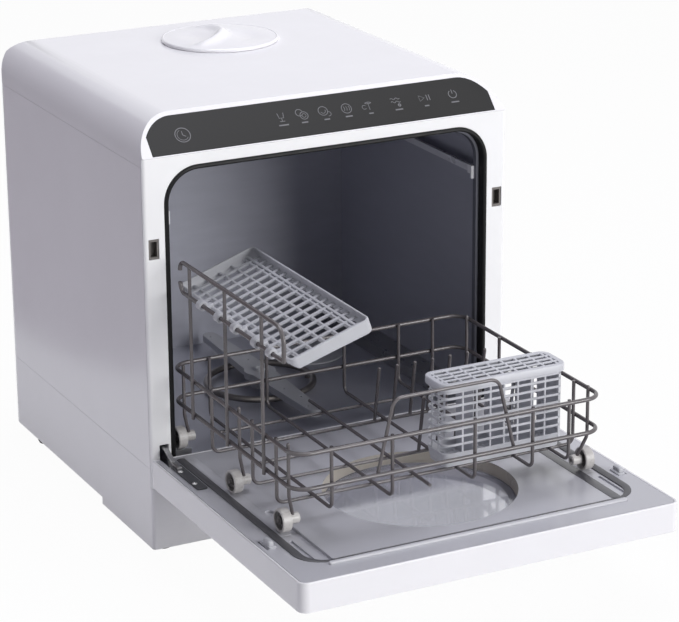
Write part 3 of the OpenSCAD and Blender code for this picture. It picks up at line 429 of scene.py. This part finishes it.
def eased_bar(low, high, ease=0.5):
    """Box between two corners with eased edges: rounded outlines stacked in Z, smaller at the ends."""
    (x0, y0, z0), (x1, y1, z1) = low, high
    ease = min(ease, (z1 - z0) * EASE_SHARE, (x1 - x0) * EASE_SHARE, (y1 - y0) * EASE_SHARE)
    return skin([rounded_loop(x0 + i, x1 - i, y0 + i, y1 - i, 2 * ease - i, z, 2)
                 for i, z in ((ease, z0), (0, z0 + ease), (0, z1 - ease), (ease, z1))])


MERGE_MM, FLAT_ANGLE, FACE_AREA_WEIGHT = 0.01, 0.4, 80


def eased_copy(node, name, body, material, width, segments=2, angle=32):
    """Copy of a solid with its doubles merged and its flat faces joined, then every edge that turns by
    more than angle degrees rounded by a width in millimetres."""
    work = bmesh.new()
    work.from_mesh(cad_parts[node].data)
    bmesh.ops.remove_doubles(work, verts=work.verts, dist=MERGE_MM * MM)
    bmesh.ops.dissolve_limit(work, angle_limit=math.radians(FLAT_ANGLE), verts=work.verts,
                             edges=work.edges)
    mesh = bpy.data.meshes.new(name)
    work.to_mesh(mesh)
    work.free()
    mesh.polygons.foreach_set("use_smooth", np.ones(len(mesh.polygons), bool))
    mesh.materials.append(material)
    piece = link_object(name, mesh)
    round_edges = piece.modifiers.new("eased edges", "BEVEL")
    round_edges.width, round_edges.segments = width * MM, segments
    round_edges.limit_method, round_edges.angle_limit = "ANGLE", math.radians(angle)
    even = piece.modifiers.new("even shading", "WEIGHTED_NORMAL")
    even.keep_sharp, even.weight = True, FACE_AREA_WEIGHT
    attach(piece, body)
    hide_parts(node)
    return piece


# ------------------------------------------------------------------ measures

FRONT = -35.0
SLANT_LOW, SLANT_ANGLE = 433.0, math.atan2(37, 36)
OPENING_HALF, OPENING_TOP, OPENING_R, OPENING_FOOT = 187.0, 421.0, 38.0, 108.0
GASKET_X, GASKET_BACK, GASKET_FRONT, GASKET_Z, GASKET_BEND = 183.0, -49.6, -348.0, 109.9, 26.0
TRACK_NEAR, TRACK_FAR, TRACK_FRONT, TRACK_BACK = 165.9, 178.2, -276.0, -42.0
STRAP_X, SCREW_X, SCREW_YS = 195.0, 197.6, (-82.0, -118.0)
SCREW_Z, SLOT_LOW, SLOT_TOP, SLOT_HALF, SLOT_THIN, SLOT_EASE = 113.45, 114.4, 115.25, 2.0, 0.42, 0.1
WINDOW_Y = -230.0
CAP_X, CAP_Y, CAP_Z, CAP_R = 14.0, 265.0, 470.3, 66.0
BASKET_X0, BASKET_X1, BASKET_Y0, BASKET_Y1 = 10.0, 148.0, -261.0, -222.0
BASKET_LOW, BASKET_RIM = 140.32, 229.72
SHELF_ORIGIN, SHELF_TILT = (-175.9, -280.0, 293.5), math.radians(18.9)
SHELF_NEAR, SHELF_FAR, SHELF_LONG = 8.0, 98.0, 262.0
CLIP_SPOTS = (18.5, 51.5, 98.5, 136.5, 178.5)
WHEEL_Z, WHEEL_YS = 124.7, (-267.0, -156.0, -20.0)

# ------------------------------------------------------------------ cabinet and door mouldings

# The frame's moulding wears the brightened white, which is painted light.
eased_copy("front_frame", "front_frame_moulding", "cabinet", frame_abs_painted_light, 0.9)
eased_copy("top_cover", "top_cover_moulding", "cabinet", white_abs, 0.5)
eased_copy("door_outer_panel", "door_shell_moulding", "door", white_abs, 1.1)
eased_copy("door_liner", "door_liner_moulding", "door", liner_pp, 0.7)


def opening_loop(inset, y, steps=10):
    """Outline of the tub's mouth drawn in by inset at depth y: square low corners, round upper ones."""
    half, top, radius = OPENING_HALF - inset, OPENING_TOP - inset, OPENING_R - inset
    t = np.linspace(0, np.pi / 2, steps + 1)
    arcs = [np.stack([s * (half - radius) + radius * np.cos(a), np.full_like(a, y),
                      top - radius + radius * np.sin(a)], 1) for s, a in ((1, t), (-1, t + np.pi / 2))]
    return np.vstack([[(half, y, OPENING_FOOT)], arcs[0], arcs[1], [(-half, y, OPENING_FOOT)]])


def mouth_band(profile):
    """Strip carried round the tub's mouth: an inset and a depth for each profile point."""
    loops = np.stack([opening_loop(inset, y) for inset, y in profile], 1)
    return skin(loops)


# Rolled lip of the tub behind the seal, a step that leans inwards and back.
lip_profile = [(0.3, -25.7), (5.2, -25.7), (7.2, -24.9), (8.3, -22.5), (8.3, -20),
               (6.9, -20), (6.6, -22.2), (5, -23.6), (0.3, -23.6)]
publish("tub_rolled_lip", [mouth_band(lip_profile)], "cabinet", lip_steel)
# Bulb of the door seal, standing a little out of the frame's mouth.
bulb_profile = [(0.35, -35.4), (1.5, -36.3), (3.1, -36.6), (4.4, -35.9), (4.9, -34.2),
                (4.7, -32), (3.4, -31), (1.4, -31), (0.35, -32.5)]
publish("seal_bulb", [mouth_band(bulb_profile)], "cabinet", black_rubber)

# Bulb gasket in the liner's groove, round the door's sides and front; it slims towards the front run.
BEND_STEPS, FRONT_SIZE = 14, 0.55
gasket_path = bent([(-GASKET_X, GASKET_BACK, GASKET_Z), (-GASKET_X, GASKET_FRONT, GASKET_Z),
                    (GASKET_X, GASKET_FRONT, GASKET_Z), (GASKET_X, GASKET_BACK, GASKET_Z)],
                   [0, GASKET_BEND, GASKET_BEND, 0], steps=BEND_STEPS)
gasket_profile = [(2.7, -2), (2.9, 1.9), (4.4, 2.2), (4.3, 2.9), (2.9, 3.5), (0.3, 3.8),
                  (-2.4, 3.5), (-4.2, 2.9), (-4.4, 2.2), (-2.9, 1.9), (-2.7, -2)]
slim = np.linspace(1, FRONT_SIZE, BEND_STEPS)
gasket_size = np.concatenate([[1], slim, slim[::-1], [1]])
publish("gasket_bulb", [carried(gasket_path, (0, 0, 1), gasket_profile, size=gasket_size)],
        "door", grey_rubber, stands_for=("door_gasket",))
# Ridge of the liner in front of the gasket's front run.
ridge_rows = ((0, 111.8), (0, 113.2), (0.5, 114.1), (1.3, 114.5))
ridge = [rounded_loop(-166 + i, 166 - i, -357.5 + i, -352.8 - i * 0.5, 2.2 - i * 0.9, z, 5)
         for i, z in ridge_rows]
publish("liner_front_ridge", [skin(ridge)], "door", liner_pp)

# Low rolled tracks beside the gasket, which the rack's wheels run along.
track_rows = ((0, 111.5), (0, 111.75), (0.3, 111.95), (0.9, 112.06))
tracks = [pad(TRACK_NEAR, TRACK_FAR, TRACK_FRONT, TRACK_BACK, 3.2, track_rows, s, 5) for s in (-1, 1)]
publish("wheel_tracks", tracks, "door", liner_pp)
# Flat dark strip that lines the wide channel on the right: painted shade where the channel lies in
# shadow.
channel_shade_rows = ((0, 111.7), (0, 112.02), (0.3, 112.1))
publish("channel_shade_strip", [pad(155, 165.8, -346, -118, 3.5, channel_shade_rows, steps=5)],
        "door", channel_shade_pp)

# Dished lip round the window: from the liner's face down to the glass.
dish = [(98.95, 111.3), (98.7, 109.5), (97.8, 105), (97.5, 101), (97.6, 99.05), (98.9, 99.05)]
publish("window_dish_lip", [turned(dish, (0, WINDOW_Y, 0), sides=96)], "door", dish_pp)

# ------------------------------------------------------------------ hinges and latch

plate_rows = ((0, 112.02), (0, 113), (0.4, 113.4))
block_rows = ((0, 111.75), (0, 113.2), (0.5, 113.7))
nose_rows = ((0, 113.3), (0, 116.6), (0.4, 117.8), (1.2, 118.4))
strap_line = ((-28, 123.6), (-42, 121.6), (-60, 113.6), (-74, 113.9))
straps, plates, blocks = [], [], []
for s in (-1, 1):
    strap = bent([(s * STRAP_X, y, z) for y, z in strap_line], [0, 14, 12, 0], steps=8)
    straps.append(carried(strap, (1, 0, 0), flat_bar(0.9, 2.6, 0.5)))
    plates.append(pad(189.4, 201.2, -133, -64, 3, plate_rows, s))
    blocks.append(pad(192.5, 200.6, -298, -280, 2, block_rows, s))
    blocks.append(pad(194.4, 200.2, -295.5, -283, 1.6, nose_rows, s))
publish("hinge_straps", straps, "door", plated_steel, stands_for=("hinge_arms",))
publish("hinge_foot_plates", plates, "door", dark_pp)
publish("latch_blocks", blocks, "door", grey_pp, stands_for=("latch_hooks",))

# Cross-head screws: domed heads, each with a cross of two dark bars let into it, painted shade for the
# shadow in the slots.
head_profile = [(0.02, 1.75), (1.2, 1.65), (2.2, 1.25), (2.8, 0.5),
                (2.9, -0.1), (2.9, -1.0), (0.02, -1.0)]
heads, slot_shades = [], []
for s in (-1, 1):
    for y in SCREW_YS:
        x = s * SCREW_X
        heads.append(turned(head_profile, (x, y, SCREW_Z), sides=20, closed=False))
        for wide, deep in ((SLOT_HALF, SLOT_THIN), (SLOT_THIN, SLOT_HALF)):
            slot_shades.append(eased_bar((x - wide, y - deep, SLOT_LOW),
                                     (x + wide, y + deep, SLOT_TOP), SLOT_EASE))
publish("hinge_screw_heads", heads, "door", plated_steel, stands_for=("hinge_screws",))
# Dark bars in the screw slots: painted shade.
publish("hinge_screw_slot_shades", slot_shades, "door", dark_pp)

# ------------------------------------------------------------------ control strip


def on_slant(u, v, lift=0.0):
    """Point on the slanted face: u along X, v up the slope from its low edge, lift out of the face."""
    c, s = math.cos(SLANT_ANGLE), math.sin(SLANT_ANGLE)
    u, v = np.asarray(u, float), np.asarray(v, float)
    return np.stack([u, FRONT + v * c - lift * s, SLANT_LOW + v * s + lift * c], -1)


INK_HALF, INK_EASE = 0.02, 0.008


def stroke(points, wide=0.75, closed=False):
    """Printed line along flat points (u, v) of the slanted face, a hair thick."""
    points = np.asarray(points, float)
    path = on_slant(points[:, 0], points[:, 1], INK_HALF)
    out = (0, -math.sin(SLANT_ANGLE), math.cos(SLANT_ANGLE))
    return carried(path, out, flat_bar(wide / 2, INK_HALF, INK_EASE), closed)


def arc(cx, cy, radius, start=0, stop=360, steps=28):
    """Points on a circle from one angle to another, in degrees."""
    t = np.radians(np.linspace(start, stop, steps, endpoint=abs(stop - start) < 360))
    return np.stack([cx + radius * np.cos(t), cy + radius * np.sin(t)], 1)


def ring_mark(cx, cy, radius, wide=0.75):
    """Printed full circle."""
    return stroke(arc(cx, cy, radius), wide, closed=True)


TIMER_U, TIMER_V, ICON_V, TICK_V = -158, 22, 27.0, 17.5
# timer: two rings and the hands of a clock
marks = [ring_mark(TIMER_U, TIMER_V, 8.2, 0.9),
         stroke([(TIMER_U, TIMER_V), (TIMER_U, TIMER_V + 4.5)], 0.8),
         stroke([(TIMER_U, TIMER_V), (TIMER_U + 3.2, TIMER_V - 2)], 0.8),
         stroke(arc(TIMER_U, TIMER_V, 5.9, 110, 330), 0.6)]
# glass with a stem
marks += [stroke([(-49.5, ICON_V + 5), (-48.6, ICON_V - 1), (-43.6, ICON_V - 1), (-42.7, ICON_V + 5)]),
          stroke([(-46.1, ICON_V - 1), (-46.1, ICON_V - 5)]),
          stroke([(-49, ICON_V - 5), (-43.2, ICON_V - 5)])]
# two plates, one behind the other
marks += [ring_mark(-20.5, ICON_V - 1.5, 4.4), ring_mark(-20.5, ICON_V - 1.5, 2.2, 0.6),
          stroke(arc(-25, ICON_V + 2.4, 3.9, 20, 300))]
# plate and cup
marks += [ring_mark(2, ICON_V + 0.8, 5.2), stroke(arc(2, ICON_V + 0.8, 2.8, 200, 380), 0.6),
          stroke(arc(7.4, ICON_V - 3.4, 2.6, -110, 110), 0.6)]
# three wisps of heat in a ring
marks += [ring_mark(29, ICON_V, 5.6)]
marks += [stroke([(u, ICON_V - 2.6), (u + 0.8, ICON_V), (u, ICON_V + 2.6)], 0.6)
          for u in (26.2, 29, 31.8)]
# leaf and stalk
leaf = [arc(55, ICON_V - 3.2, 7.2, 60, 120, 10), arc(55, ICON_V + 9.2, 7.2, 240, 300, 10)]
marks += [stroke(np.vstack(leaf), 0.7, closed=True),
          stroke([(55, ICON_V - 5.4), (55, ICON_V + 3.4)], 0.6),
          stroke(arc(49.5, ICON_V - 1.5, 2.4, 40, 320), 0.6)]
# warm air: two waves, v = 0.9 * sin(1.15 * u), and a dot
for v in (ICON_V + 3.6, ICON_V - 0.2):
    u = np.linspace(-5.5, 5.5, 22)
    marks.append(stroke(np.stack([87 + u, v + 0.9 * np.sin(u * 1.15)], 1), 0.65))
marks.append(ring_mark(90, ICON_V - 4.4, 1.3, 1.2))
# start and pause
marks += [stroke([(115, ICON_V + 3.4), (121, ICON_V), (115, ICON_V - 3.4)], 0.7, closed=True)]
marks += [stroke([(u, ICON_V + 3.4), (u, ICON_V - 3.4)], 0.9) for u in (124, 127)]
# power: open ring and stroke
marks += [stroke(arc(155, ICON_V, 4.6, 120, 420), 0.9),
          stroke([(155, ICON_V + 0.6), (155, ICON_V + 5.6)], 0.9)]
# plain tick under each mark
ticks = ((-46, 5.5), (-22, 3.6), (3.5, 3.2), (29, 4), (55, 2.6), (88, 4.4), (121, 2.6), (155, 4.6))
marks += [stroke([(u - half, TICK_V), (u + half, TICK_V)], 1.5) for u, half in ticks]
publish("panel_prints", marks, "cabinet", panel_ink, crease=60)

# ------------------------------------------------------------------ filler cap

CAP_EDGE, CAP_DOME, RIDGE_HIGH, RIDGE_WIDE = 3.0, 3.6, 6.0, 6.5


def hollow(x, y, deep, cx, cy, wide, long):
    """Depth of a scooped hollow: deep * exp(-(dx / wide) ** 2 - (dy / long) ** 2)."""
    return deep * np.exp(-(((x - cx) / wide) ** 2 + ((y - cy) / long) ** 2))


def cap_height(x, y):
    """Height of the cap's face over its seat: a flat dome, edge + dome * (1 - (r / R) ** 2), plus a
    finger ridge that falls off as exp(-(gap / wide) ** 2) from its line, less two scooped hollows."""
    r2 = (x * x + y * y) / CAP_R ** 2
    line = np.array([(-6, 52), (4, 38), (8, 22), (6, 6), (-4, -10), (-20, -26), (-36, -34), (-46, -32)],
                    float)
    t = np.linspace(0, 1, 60)[:, None] * (len(line) - 1)
    k = np.clip(t.astype(int), 0, len(line) - 2)
    spine = (line[k] * (1 - (t - k))[..., None] + line[k + 1] * (t - k)[..., None])[:, 0]
    gap = np.hypot(x[..., None] - spine[:, 0], y[..., None] - spine[:, 1])
    along = gap.argmin(-1) / (len(spine) - 1)
    taper = np.sin(np.pi * np.clip(along, 0.02, 0.98)) ** 0.6
    ridge = RIDGE_HIGH * taper * np.exp(-(gap.min(-1) / RIDGE_WIDE) ** 2)
    left, right = hollow(x, y, 2.6, -24, 10, 17, 26), hollow(x, y, 3.4, 26, -14, 20, 28)
    return CAP_EDGE + CAP_DOME * (1 - r2) + ridge - left - right


CAP_SIDES = 120
radii = np.concatenate([np.linspace(0.4, CAP_R - 4.5, 40), [CAP_R - 3.6, CAP_R - 3.0]])
turn = np.arange(CAP_SIDES) * 2 * np.pi / CAP_SIDES
rr, tt = np.meshgrid(radii, turn, indexing="ij")
face = np.stack([rr * np.cos(tt), rr * np.sin(tt), cap_height(rr * np.cos(tt), rr * np.sin(tt))], -1)
# rim over the edge, then the plug's wall and floor
rim = [(CAP_R - 2.2, 3.7), (CAP_R - 0.9, 3.2), (CAP_R - 0.1, 2.2), (CAP_R, 0.9), (CAP_R - 0.5, 0.05),
       (49.4, 0), (49.4, -14), (46, -14), (46, -1), (0.4, -1)]
rim = np.array([[(r * math.cos(t), r * math.sin(t), h) for t in turn] for r, h in rim])
publish("filler_cap_moulding", [skin(np.concatenate([face, rim]) + (CAP_X, CAP_Y, CAP_Z))],
        "filler_cap", white_abs, stands_for=("filler_cap",))

# ------------------------------------------------------------------ cutlery basket

x0, x1, y0, y1 = BASKET_X0, BASKET_X1, BASKET_Y0, BASKET_Y1
WALL, SLAT_HALF, RIB_HALF, BASKET_R, LEAST_R = 1.6, 1.3, 1.2, 8.0, 3.0
SLAT_PITCH, SLAT_COUNT, RIB_PITCH, FLOOR_BARS = 8.3, 8, 15.8, 12
SKIRT_LOW = BASKET_RIM - 8.0


def basket_ring(inset, z):
    """Rounded outline of the basket drawn in by inset."""
    radius = BASKET_R - min(inset, BASKET_R - LEAST_R)
    return rounded_loop(x0 + inset, x1 - inset, y0 + inset, y1 - inset, radius, z)


def basket_band(low, high, thick=1.7, ease=0.5, lean=0.0, out=0.0):
    """Band round the basket from low to high, its corners eased; its foot leans in by lean."""
    outer, inner = -out, thick - out
    rows = ((outer + ease, high), (outer, high - ease), (outer + lean, low + ease),
            (outer + lean + ease, low), (inner + lean - ease, low), (inner + lean, low + ease),
            (inner, high - ease), (inner - ease, high))
    return skin([basket_ring(i, z) for i, z in rows], "ring")


def basket_bar(x, y, half_x, half_y, low, high):
    """Adds a bar to the basket: its middle, its half sizes, and its lower and upper face."""
    basket.append(eased_bar((x - half_x, y - half_y, low), (x + half_x, y + half_y, high)))


basket = [basket_band(BASKET_LOW + 4, BASKET_LOW + 15, lean=1.8),
          basket_band(SKIRT_LOW - 3.4, SKIRT_LOW + 5)]
for k in range(1, SLAT_COUNT):
    z = SKIRT_LOW - SLAT_PITCH * k
    basket.append(basket_band(z - SLAT_HALF, z + SLAT_HALF))
# upright ribs of the long and the short walls
middle_x, middle_y, wide, deep = (x0 + x1) / 2, (y0 + y1) / 2, x1 - x0, y1 - y0
rib_low, rib_top, rib_in = BASKET_LOW + 12, SKIRT_LOW + 1, 0.1 + WALL / 2
for k in range(-3, 4):
    for y in (y0 + rib_in, y1 - rib_in):
        basket_bar(middle_x + RIB_PITCH * k, y, RIB_HALF, WALL / 2, rib_low, rib_top)
for y in (y0 + 13, y1 - 13):
    for x in (x0 + rib_in, x1 - rib_in):
        basket_bar(x, y, WALL / 2, RIB_HALF, rib_low, rib_top)
# smooth corner panel at the right end: the ring's last corner, its right side and its first corner
PANEL_SPAN = [*range(22, 28), *range(0, 7)]
panel = np.vstack([basket_ring(0, 0)[PANEL_SPAN], basket_ring(WALL, 0)[PANEL_SPAN][::-1]])
basket.append(skin([panel + (0, 0, z) for z in (BASKET_LOW + 10, rib_top)]))
# lid frame with its skirt, then the bars of its slots and the dividers under them
lid_rows = ((-2.6, BASKET_RIM - 0.4), (-3, BASKET_RIM - 1), (-3, SKIRT_LOW + 0.5), (-2.6, SKIRT_LOW),
            (-1.6, SKIRT_LOW), (-1.4, BASKET_RIM - 2), (2.4, BASKET_RIM - 2), (2.8, BASKET_RIM - 1.6),
            (2.8, BASKET_RIM - 0.5), (2.4, BASKET_RIM - 0.1), (-2.2, BASKET_RIM))
basket.append(skin([basket_ring(i, z) for i, z in lid_rows], "ring"))
for k in range(1, 4):
    y = y0 + 2 + k * (deep - 4) / 4
    basket_bar(middle_x, y, wide / 2 - 2, 1.7, BASKET_RIM - 2, BASKET_RIM - 0.2)
for k in range(-4, 5):
    x = middle_x + RIB_PITCH * k
    basket_bar(x, middle_y, 1.5, deep / 2 - 1.5, BASKET_RIM - 2.1, BASKET_RIM - 0.3)
for k in range(1, 4):
    basket_bar(x0 + k * wide / 4, middle_y, 0.6, deep / 2 - WALL, BASKET_LOW + 3, BASKET_RIM - 2.2)
# floor of bars and the ring it stands on
basket.append(basket_band(BASKET_LOW, BASKET_LOW + 4.6, lean=0.4, out=-2.2, thick=2.4))
for k in range(FLOOR_BARS):
    x = x0 + 8 + k * (wide - 16) / (FLOOR_BARS - 1)
    basket_bar(x, middle_y, 1.4, deep / 2 - 2.4, BASKET_LOW + 2.2, BASKET_LOW + 4)
for k in range(1, 4):
    basket_bar(middle_x, y0 + k * deep / 4, wide / 2 - 2.4, 1.2, BASKET_LOW + 2, BASKET_LOW + 3.8)
publish("cutlery_basket_moulding", basket, "cutlery_basket", basket_pp,
        stands_for=("cutlery_basket",))

# ------------------------------------------------------------------ cup shelf


def on_shelf(part):
    """Moves a part drawn level, with u along X from the rod, into the tilted shelf's place."""
    points, faces = part
    u, y, w = np.asarray(points, float).T
    c, s = math.cos(SHELF_TILT), math.sin(SHELF_TILT)
    ox, oy, oz = SHELF_ORIGIN
    return np.stack([ox + u * c - w * s, oy + y, oz + u * s + w * c], 1), faces


u0, u1 = SHELF_NEAR, SHELF_FAR
RIM_W, FOOT_W, WALL_T, TRAY_R = -5.0, -20.0, 2.4, 7.0
RISE_SPAN, RISE_HIGH = 14.0, 9.0
SHELF_SLATS, SHELF_RIBS, SHELF_EASE = 17, 6, 0.4
CLIP_LONG, CLIP_BORE, CLIP_ROUND = 9.0, 2.35, 5.0


def shelf_ring(inset, w):
    """Rounded outline of the tray drawn in by inset; its foot rises near the rod."""
    loop = rounded_loop(u0 + inset, u1 - inset, inset, SHELF_LONG - inset, TRAY_R - min(inset, 4.5), w)
    near = np.clip((u0 + RISE_SPAN - loop[:, 0]) / RISE_SPAN, 0, 1)
    low = np.clip((RIM_W - w) / (RIM_W - FOOT_W), 0, 1)
    loop[:, 2] += RISE_HIGH * near ** 2 * low
    return loop


wall_rows = ((0.6, RIM_W), (0, RIM_W - 0.7), (0, FOOT_W + 3), (0.5, FOOT_W + 1), (1.6, FOOT_W),
             (WALL_T + 1.2, FOOT_W + 0.6), (WALL_T, FOOT_W + 3), (WALL_T, RIM_W - 0.7),
             (WALL_T - 0.6, RIM_W))
tray = [skin([shelf_ring(i, w) for i, w in wall_rows], "ring")]
# slats across the tray, ribs along it and a deeper rib near its far wall
for k in range(1, SHELF_SLATS):
    y = k * SHELF_LONG / SHELF_SLATS
    tray.append(eased_bar((u0 + 1.5, y - 2.2, RIM_W - 9.5), (u1 - 1.5, y + 2.2, RIM_W - 7.4),
                          SHELF_EASE))
ribs = [(u0 + k * (u1 - u0) / SHELF_RIBS, 1.2, RIM_W - 12.5, RIM_W - 7.8) for k in range(1, SHELF_RIBS)]
for u, half, low, high in ribs + [(u1 - 11, 1.5, RIM_W - 10.2, RIM_W - 6.8)]:
    tray.append(eased_bar((u - half, 1.5, low), (u + half, SHELF_LONG - 1.5, high), SHELF_EASE))
# clips round the rod, each with a tongue to the tray
clip = [(CLIP_BORE, 0.5), (2.6, 0), (4.5, 0), (CLIP_ROUND, 0.6), (CLIP_ROUND, CLIP_LONG - 0.6),
        (4.5, CLIP_LONG), (2.6, CLIP_LONG), (CLIP_BORE, CLIP_LONG - 0.5)]
for y in CLIP_SPOTS:
    tray.append(turned(clip, (0, y, 0), "Y", 24))
    tray.append(eased_bar((2.8, y + 0.8, -8.2), (u0 + 3, y + CLIP_LONG - 0.8, -2.2), 0.8))
publish("cup_shelf_tray", [on_shelf(part) for part in tray], "cup_shelf", grey_pp,
        stands_for=("cup_shelf",))

# ------------------------------------------------------------------ wheels and their legs

LEG_WIRE, LEG_BEND = 1.8, 14.0
LEG_LINE = ((168.1, -8.0, 205.0), (168.1, -8.0, 152.0), (160.5, -0.6, 127.5))
BOSS, AXLE = (154.5, 165.6), (155.5, 177.3)
WHEEL_OUTER, WHEEL_INNER = 176.0, 166.0
legs, bosses, axles = [], [], []
for s in (-1, 1):
    for y in WHEEL_YS:
        corners = [(s * leg_x, y + leg_y, leg_z) for leg_x, leg_y, leg_z in LEG_LINE]
        across = np.cross((0, 0, -1), np.subtract(corners[2], corners[1]))
        legs.append(wire(bent(corners, [0, LEG_BEND, 0]), across, LEG_WIRE))
        low, high = sorted((s * BOSS[0], s * BOSS[1]))
        boss = [(2.2, low + 0.1), (4.6, low), (5.5, low + 0.8), (5.5, high - 0.6), (5.0, high),
                (2.2, high)]
        bosses.append(turned(boss, (0, y, WHEEL_Z), "X", 28))
        low, high = sorted((s * AXLE[0], s * AXLE[1]))
        pin = [(0.02, low), (1.6, low + 0.1), (2.4, low + 0.7), (2.4, high - 0.7), (1.6, high - 0.1),
               (0.02, high)]
        axles.append(turned(pin, (0, y, WHEEL_Z), "X", 20, closed=False))
publish("wheel_leg_wires", legs, "rack", nylon_wire)
publish("wheel_bosses", bosses, "rack", wheel_pale, stands_for=("wheel_clips",))
publish("wheel_axle_pins", axles, "rack", wheel_dark)

for row, y in zip(("front", "mid", "rear"), WHEEL_YS):
    for side, s in (("left", -1), ("right", 1)):
        name = "wheel_" + row + "_" + side
        outer, inner = s * WHEEL_OUTER, s * WHEEL_INNER
        tread = [(9.4, inner + s * 0.8), (9.9, inner + s * 0.1), (11.4, inner), (12, inner + s * 0.8),
                 (12, outer - s * 0.8), (11.4, outer), (9.9, outer - s * 0.1), (9.4, outer - s * 0.8)]
        web = [(2.6, inner + s * 0.6), (4.4, inner + s * 0.6), (4.6, inner + s * 3),
               (9.5, inner + s * 3.6), (9.5, outer - s * 4.6), (4.6, outer - s * 4.0),
               (4.4, outer - s * 0.6), (2.6, outer - s * 0.4)]
        publish(name + "_tread", [turned(tread, (0, y, WHEEL_Z), "X", 48)], name, wheel_pale,
                stands_for=(name,))
        core = [turned(web, (0, y, WHEEL_Z), "X", 40)]
        hub = np.array([outer - s * 2.9, y, WHEEL_Z])
        for angle in (90, 210, 330):
            spoke = np.array([0, math.cos(math.radians(angle)), math.sin(math.radians(angle))])
            core.append(carried([hub + spoke * reach for reach in (4, 6.7, 9.5)], (1, 0, 0),
                                flat_bar(0.9, 1.8, 0.3)))
        publish(name + "_core", core, name, wheel_dark)

# ------------------------------------------------------------------ stage and light

FLOOR_HALF, GLOW_SHARE, CARD_LOW, CARD_HIGH = 9.0, 0.965, 0.001, 1.0
CARD_FOOT = [(-0.62, 0.16), (-0.54, 0.36), (-0.473, 0.47), (-0.392, 0.512), (-0.355, 0.64),
             (-0.33, 0.95), (-0.32, 1.5)]


def empty_tree(holder):
    """Node tree of a material or a world, emptied."""
    holder.use_nodes = True
    holder.node_tree.nodes.clear()
    return holder.node_tree


def seen_directly(tree):
    """1 for rays from the camera, from a gloss or through clear plastic, and 0 for all others."""
    path = add(tree, "ShaderNodeLightPath")
    seen = path.outputs["Is Camera Ray"]
    for kind in ("Is Glossy Ray", "Is Transmission Ray"):
        seen = add(tree, "ShaderNodeMath", {0: seen, 1: path.outputs[kind]},
                   operation="MAXIMUM").outputs[0]
    return seen


def studio_mesh(name, points, faces, material):
    """Object of points in metres with one material, for the studio."""
    mesh = bpy.data.meshes.new(name)
    mesh.from_pydata(points, [], faces)
    mesh.materials.append(material)
    return link_object(name, mesh)


def plain_floor():
    """Pale floor: white where it is seen directly, with a share of shading that keeps the shadow."""
    material = bpy.data.materials.new("plain_white_floor")
    tree = empty_tree(material)
    share = add(tree, "ShaderNodeMath", {0: seen_directly(tree), 1: GLOW_SHARE}, operation="MULTIPLY")
    lit = add(tree, "ShaderNodeBsdfDiffuse", {"Color": linear("#F4F4F6")})
    glow = add(tree, "ShaderNodeEmission", {"Color": (1, 1, 1, 1), "Strength": 1.0})
    both = add(tree, "ShaderNodeMixShader",
               {0: share.outputs[0], 1: lit.outputs[0], 2: glow.outputs[0]})
    add(tree, "ShaderNodeOutputMaterial", {"Surface": both.outputs[0]})
    h = FLOOR_HALF
    corners = [(-h, -h, 0), (h, -h, 0), (h, h, 0), (-h, h, 0)]
    floor = studio_mesh("floor", corners, [(0, 1, 2, 3)], material)


def reflection_card():
    """Grey studio card behind the machine on its left, seen only in gloss: a wall on a bent line."""
    material = bpy.data.materials.new("grey_card")
    tree = empty_tree(material)
    path = add(tree, "ShaderNodeLightPath")
    grey = add(tree, "ShaderNodeEmission", {"Color": linear("#9C9094"), "Strength": 1.0})
    clear = add(tree, "ShaderNodeBsdfTransparent")
    both = add(tree, "ShaderNodeMixShader",
               {0: path.outputs["Is Glossy Ray"], 1: clear.outputs[0], 2: grey.outputs[0]})
    add(tree, "ShaderNodeOutputMaterial", {"Surface": both.outputs[0]})
    count = len(CARD_FOOT)
    points = [(x, y, z) for z in (CARD_LOW, CARD_HIGH) for x, y in CARD_FOOT]
    faces = [(k, k + 1, count + k + 1, count + k) for k in range(count - 1)]
    card = studio_mesh("card", points, faces, material)


def soft_world(ambient, tint):
    """Even pale sky: white where it is seen directly, and a tinted ambient light elsewhere."""
    world = bpy.data.worlds.new("studio")
    tree = empty_tree(world)
    seen = seen_directly(tree)
    sky = add(tree, "ShaderNodeBackground", {"Color": linear(tint), "Strength": ambient})
    white = add(tree, "ShaderNodeBackground", {"Color": (1, 1, 1, 1), "Strength": 1.0})
    both = add(tree, "ShaderNodeMixShader", {0: seen, 1: sky.outputs[0], 2: white.outputs[0]})
    add(tree, "ShaderNodeOutputWorld", {"Surface": both.outputs[0]})
    bpy.context.scene.world = world


def soft_box(name, place, aim, size, watts, tint="#FFFFFF"):
    """Square area light at a place, turned towards a point, both in metres."""
    light = bpy.data.lights.new(name, "AREA")
    light.shape, light.size, light.energy = "SQUARE", size, watts
    light.color = linear(tint)[:3]
    lamp = link_object(name, light)
    lamp.location = place
    lamp.rotation_mode = "QUATERNION"
    lamp.rotation_quaternion = (Vector(aim) - Vector(place)).to_track_quat("-Z", "Y")


plain_floor()
reflection_card()
soft_world(0.03, "#F2F3FA")
bpy.context.scene.view_settings.view_transform = "Standard"
soft_box("key_front_right", (3.0, -6.4, 2.1), (0, -0.05, 0.2), 4.0, 400)
soft_box("top_fill", (0.3, 0.2, 3.0), (0, 0, 0.2), 1.8, 58, "#F6F6FF")
soft_box("low_left_fill", (-1.3, 0.3, 0.2), (-0.2, 0.2, 0.05), 0.8, 2.5, "#F2EEFF")
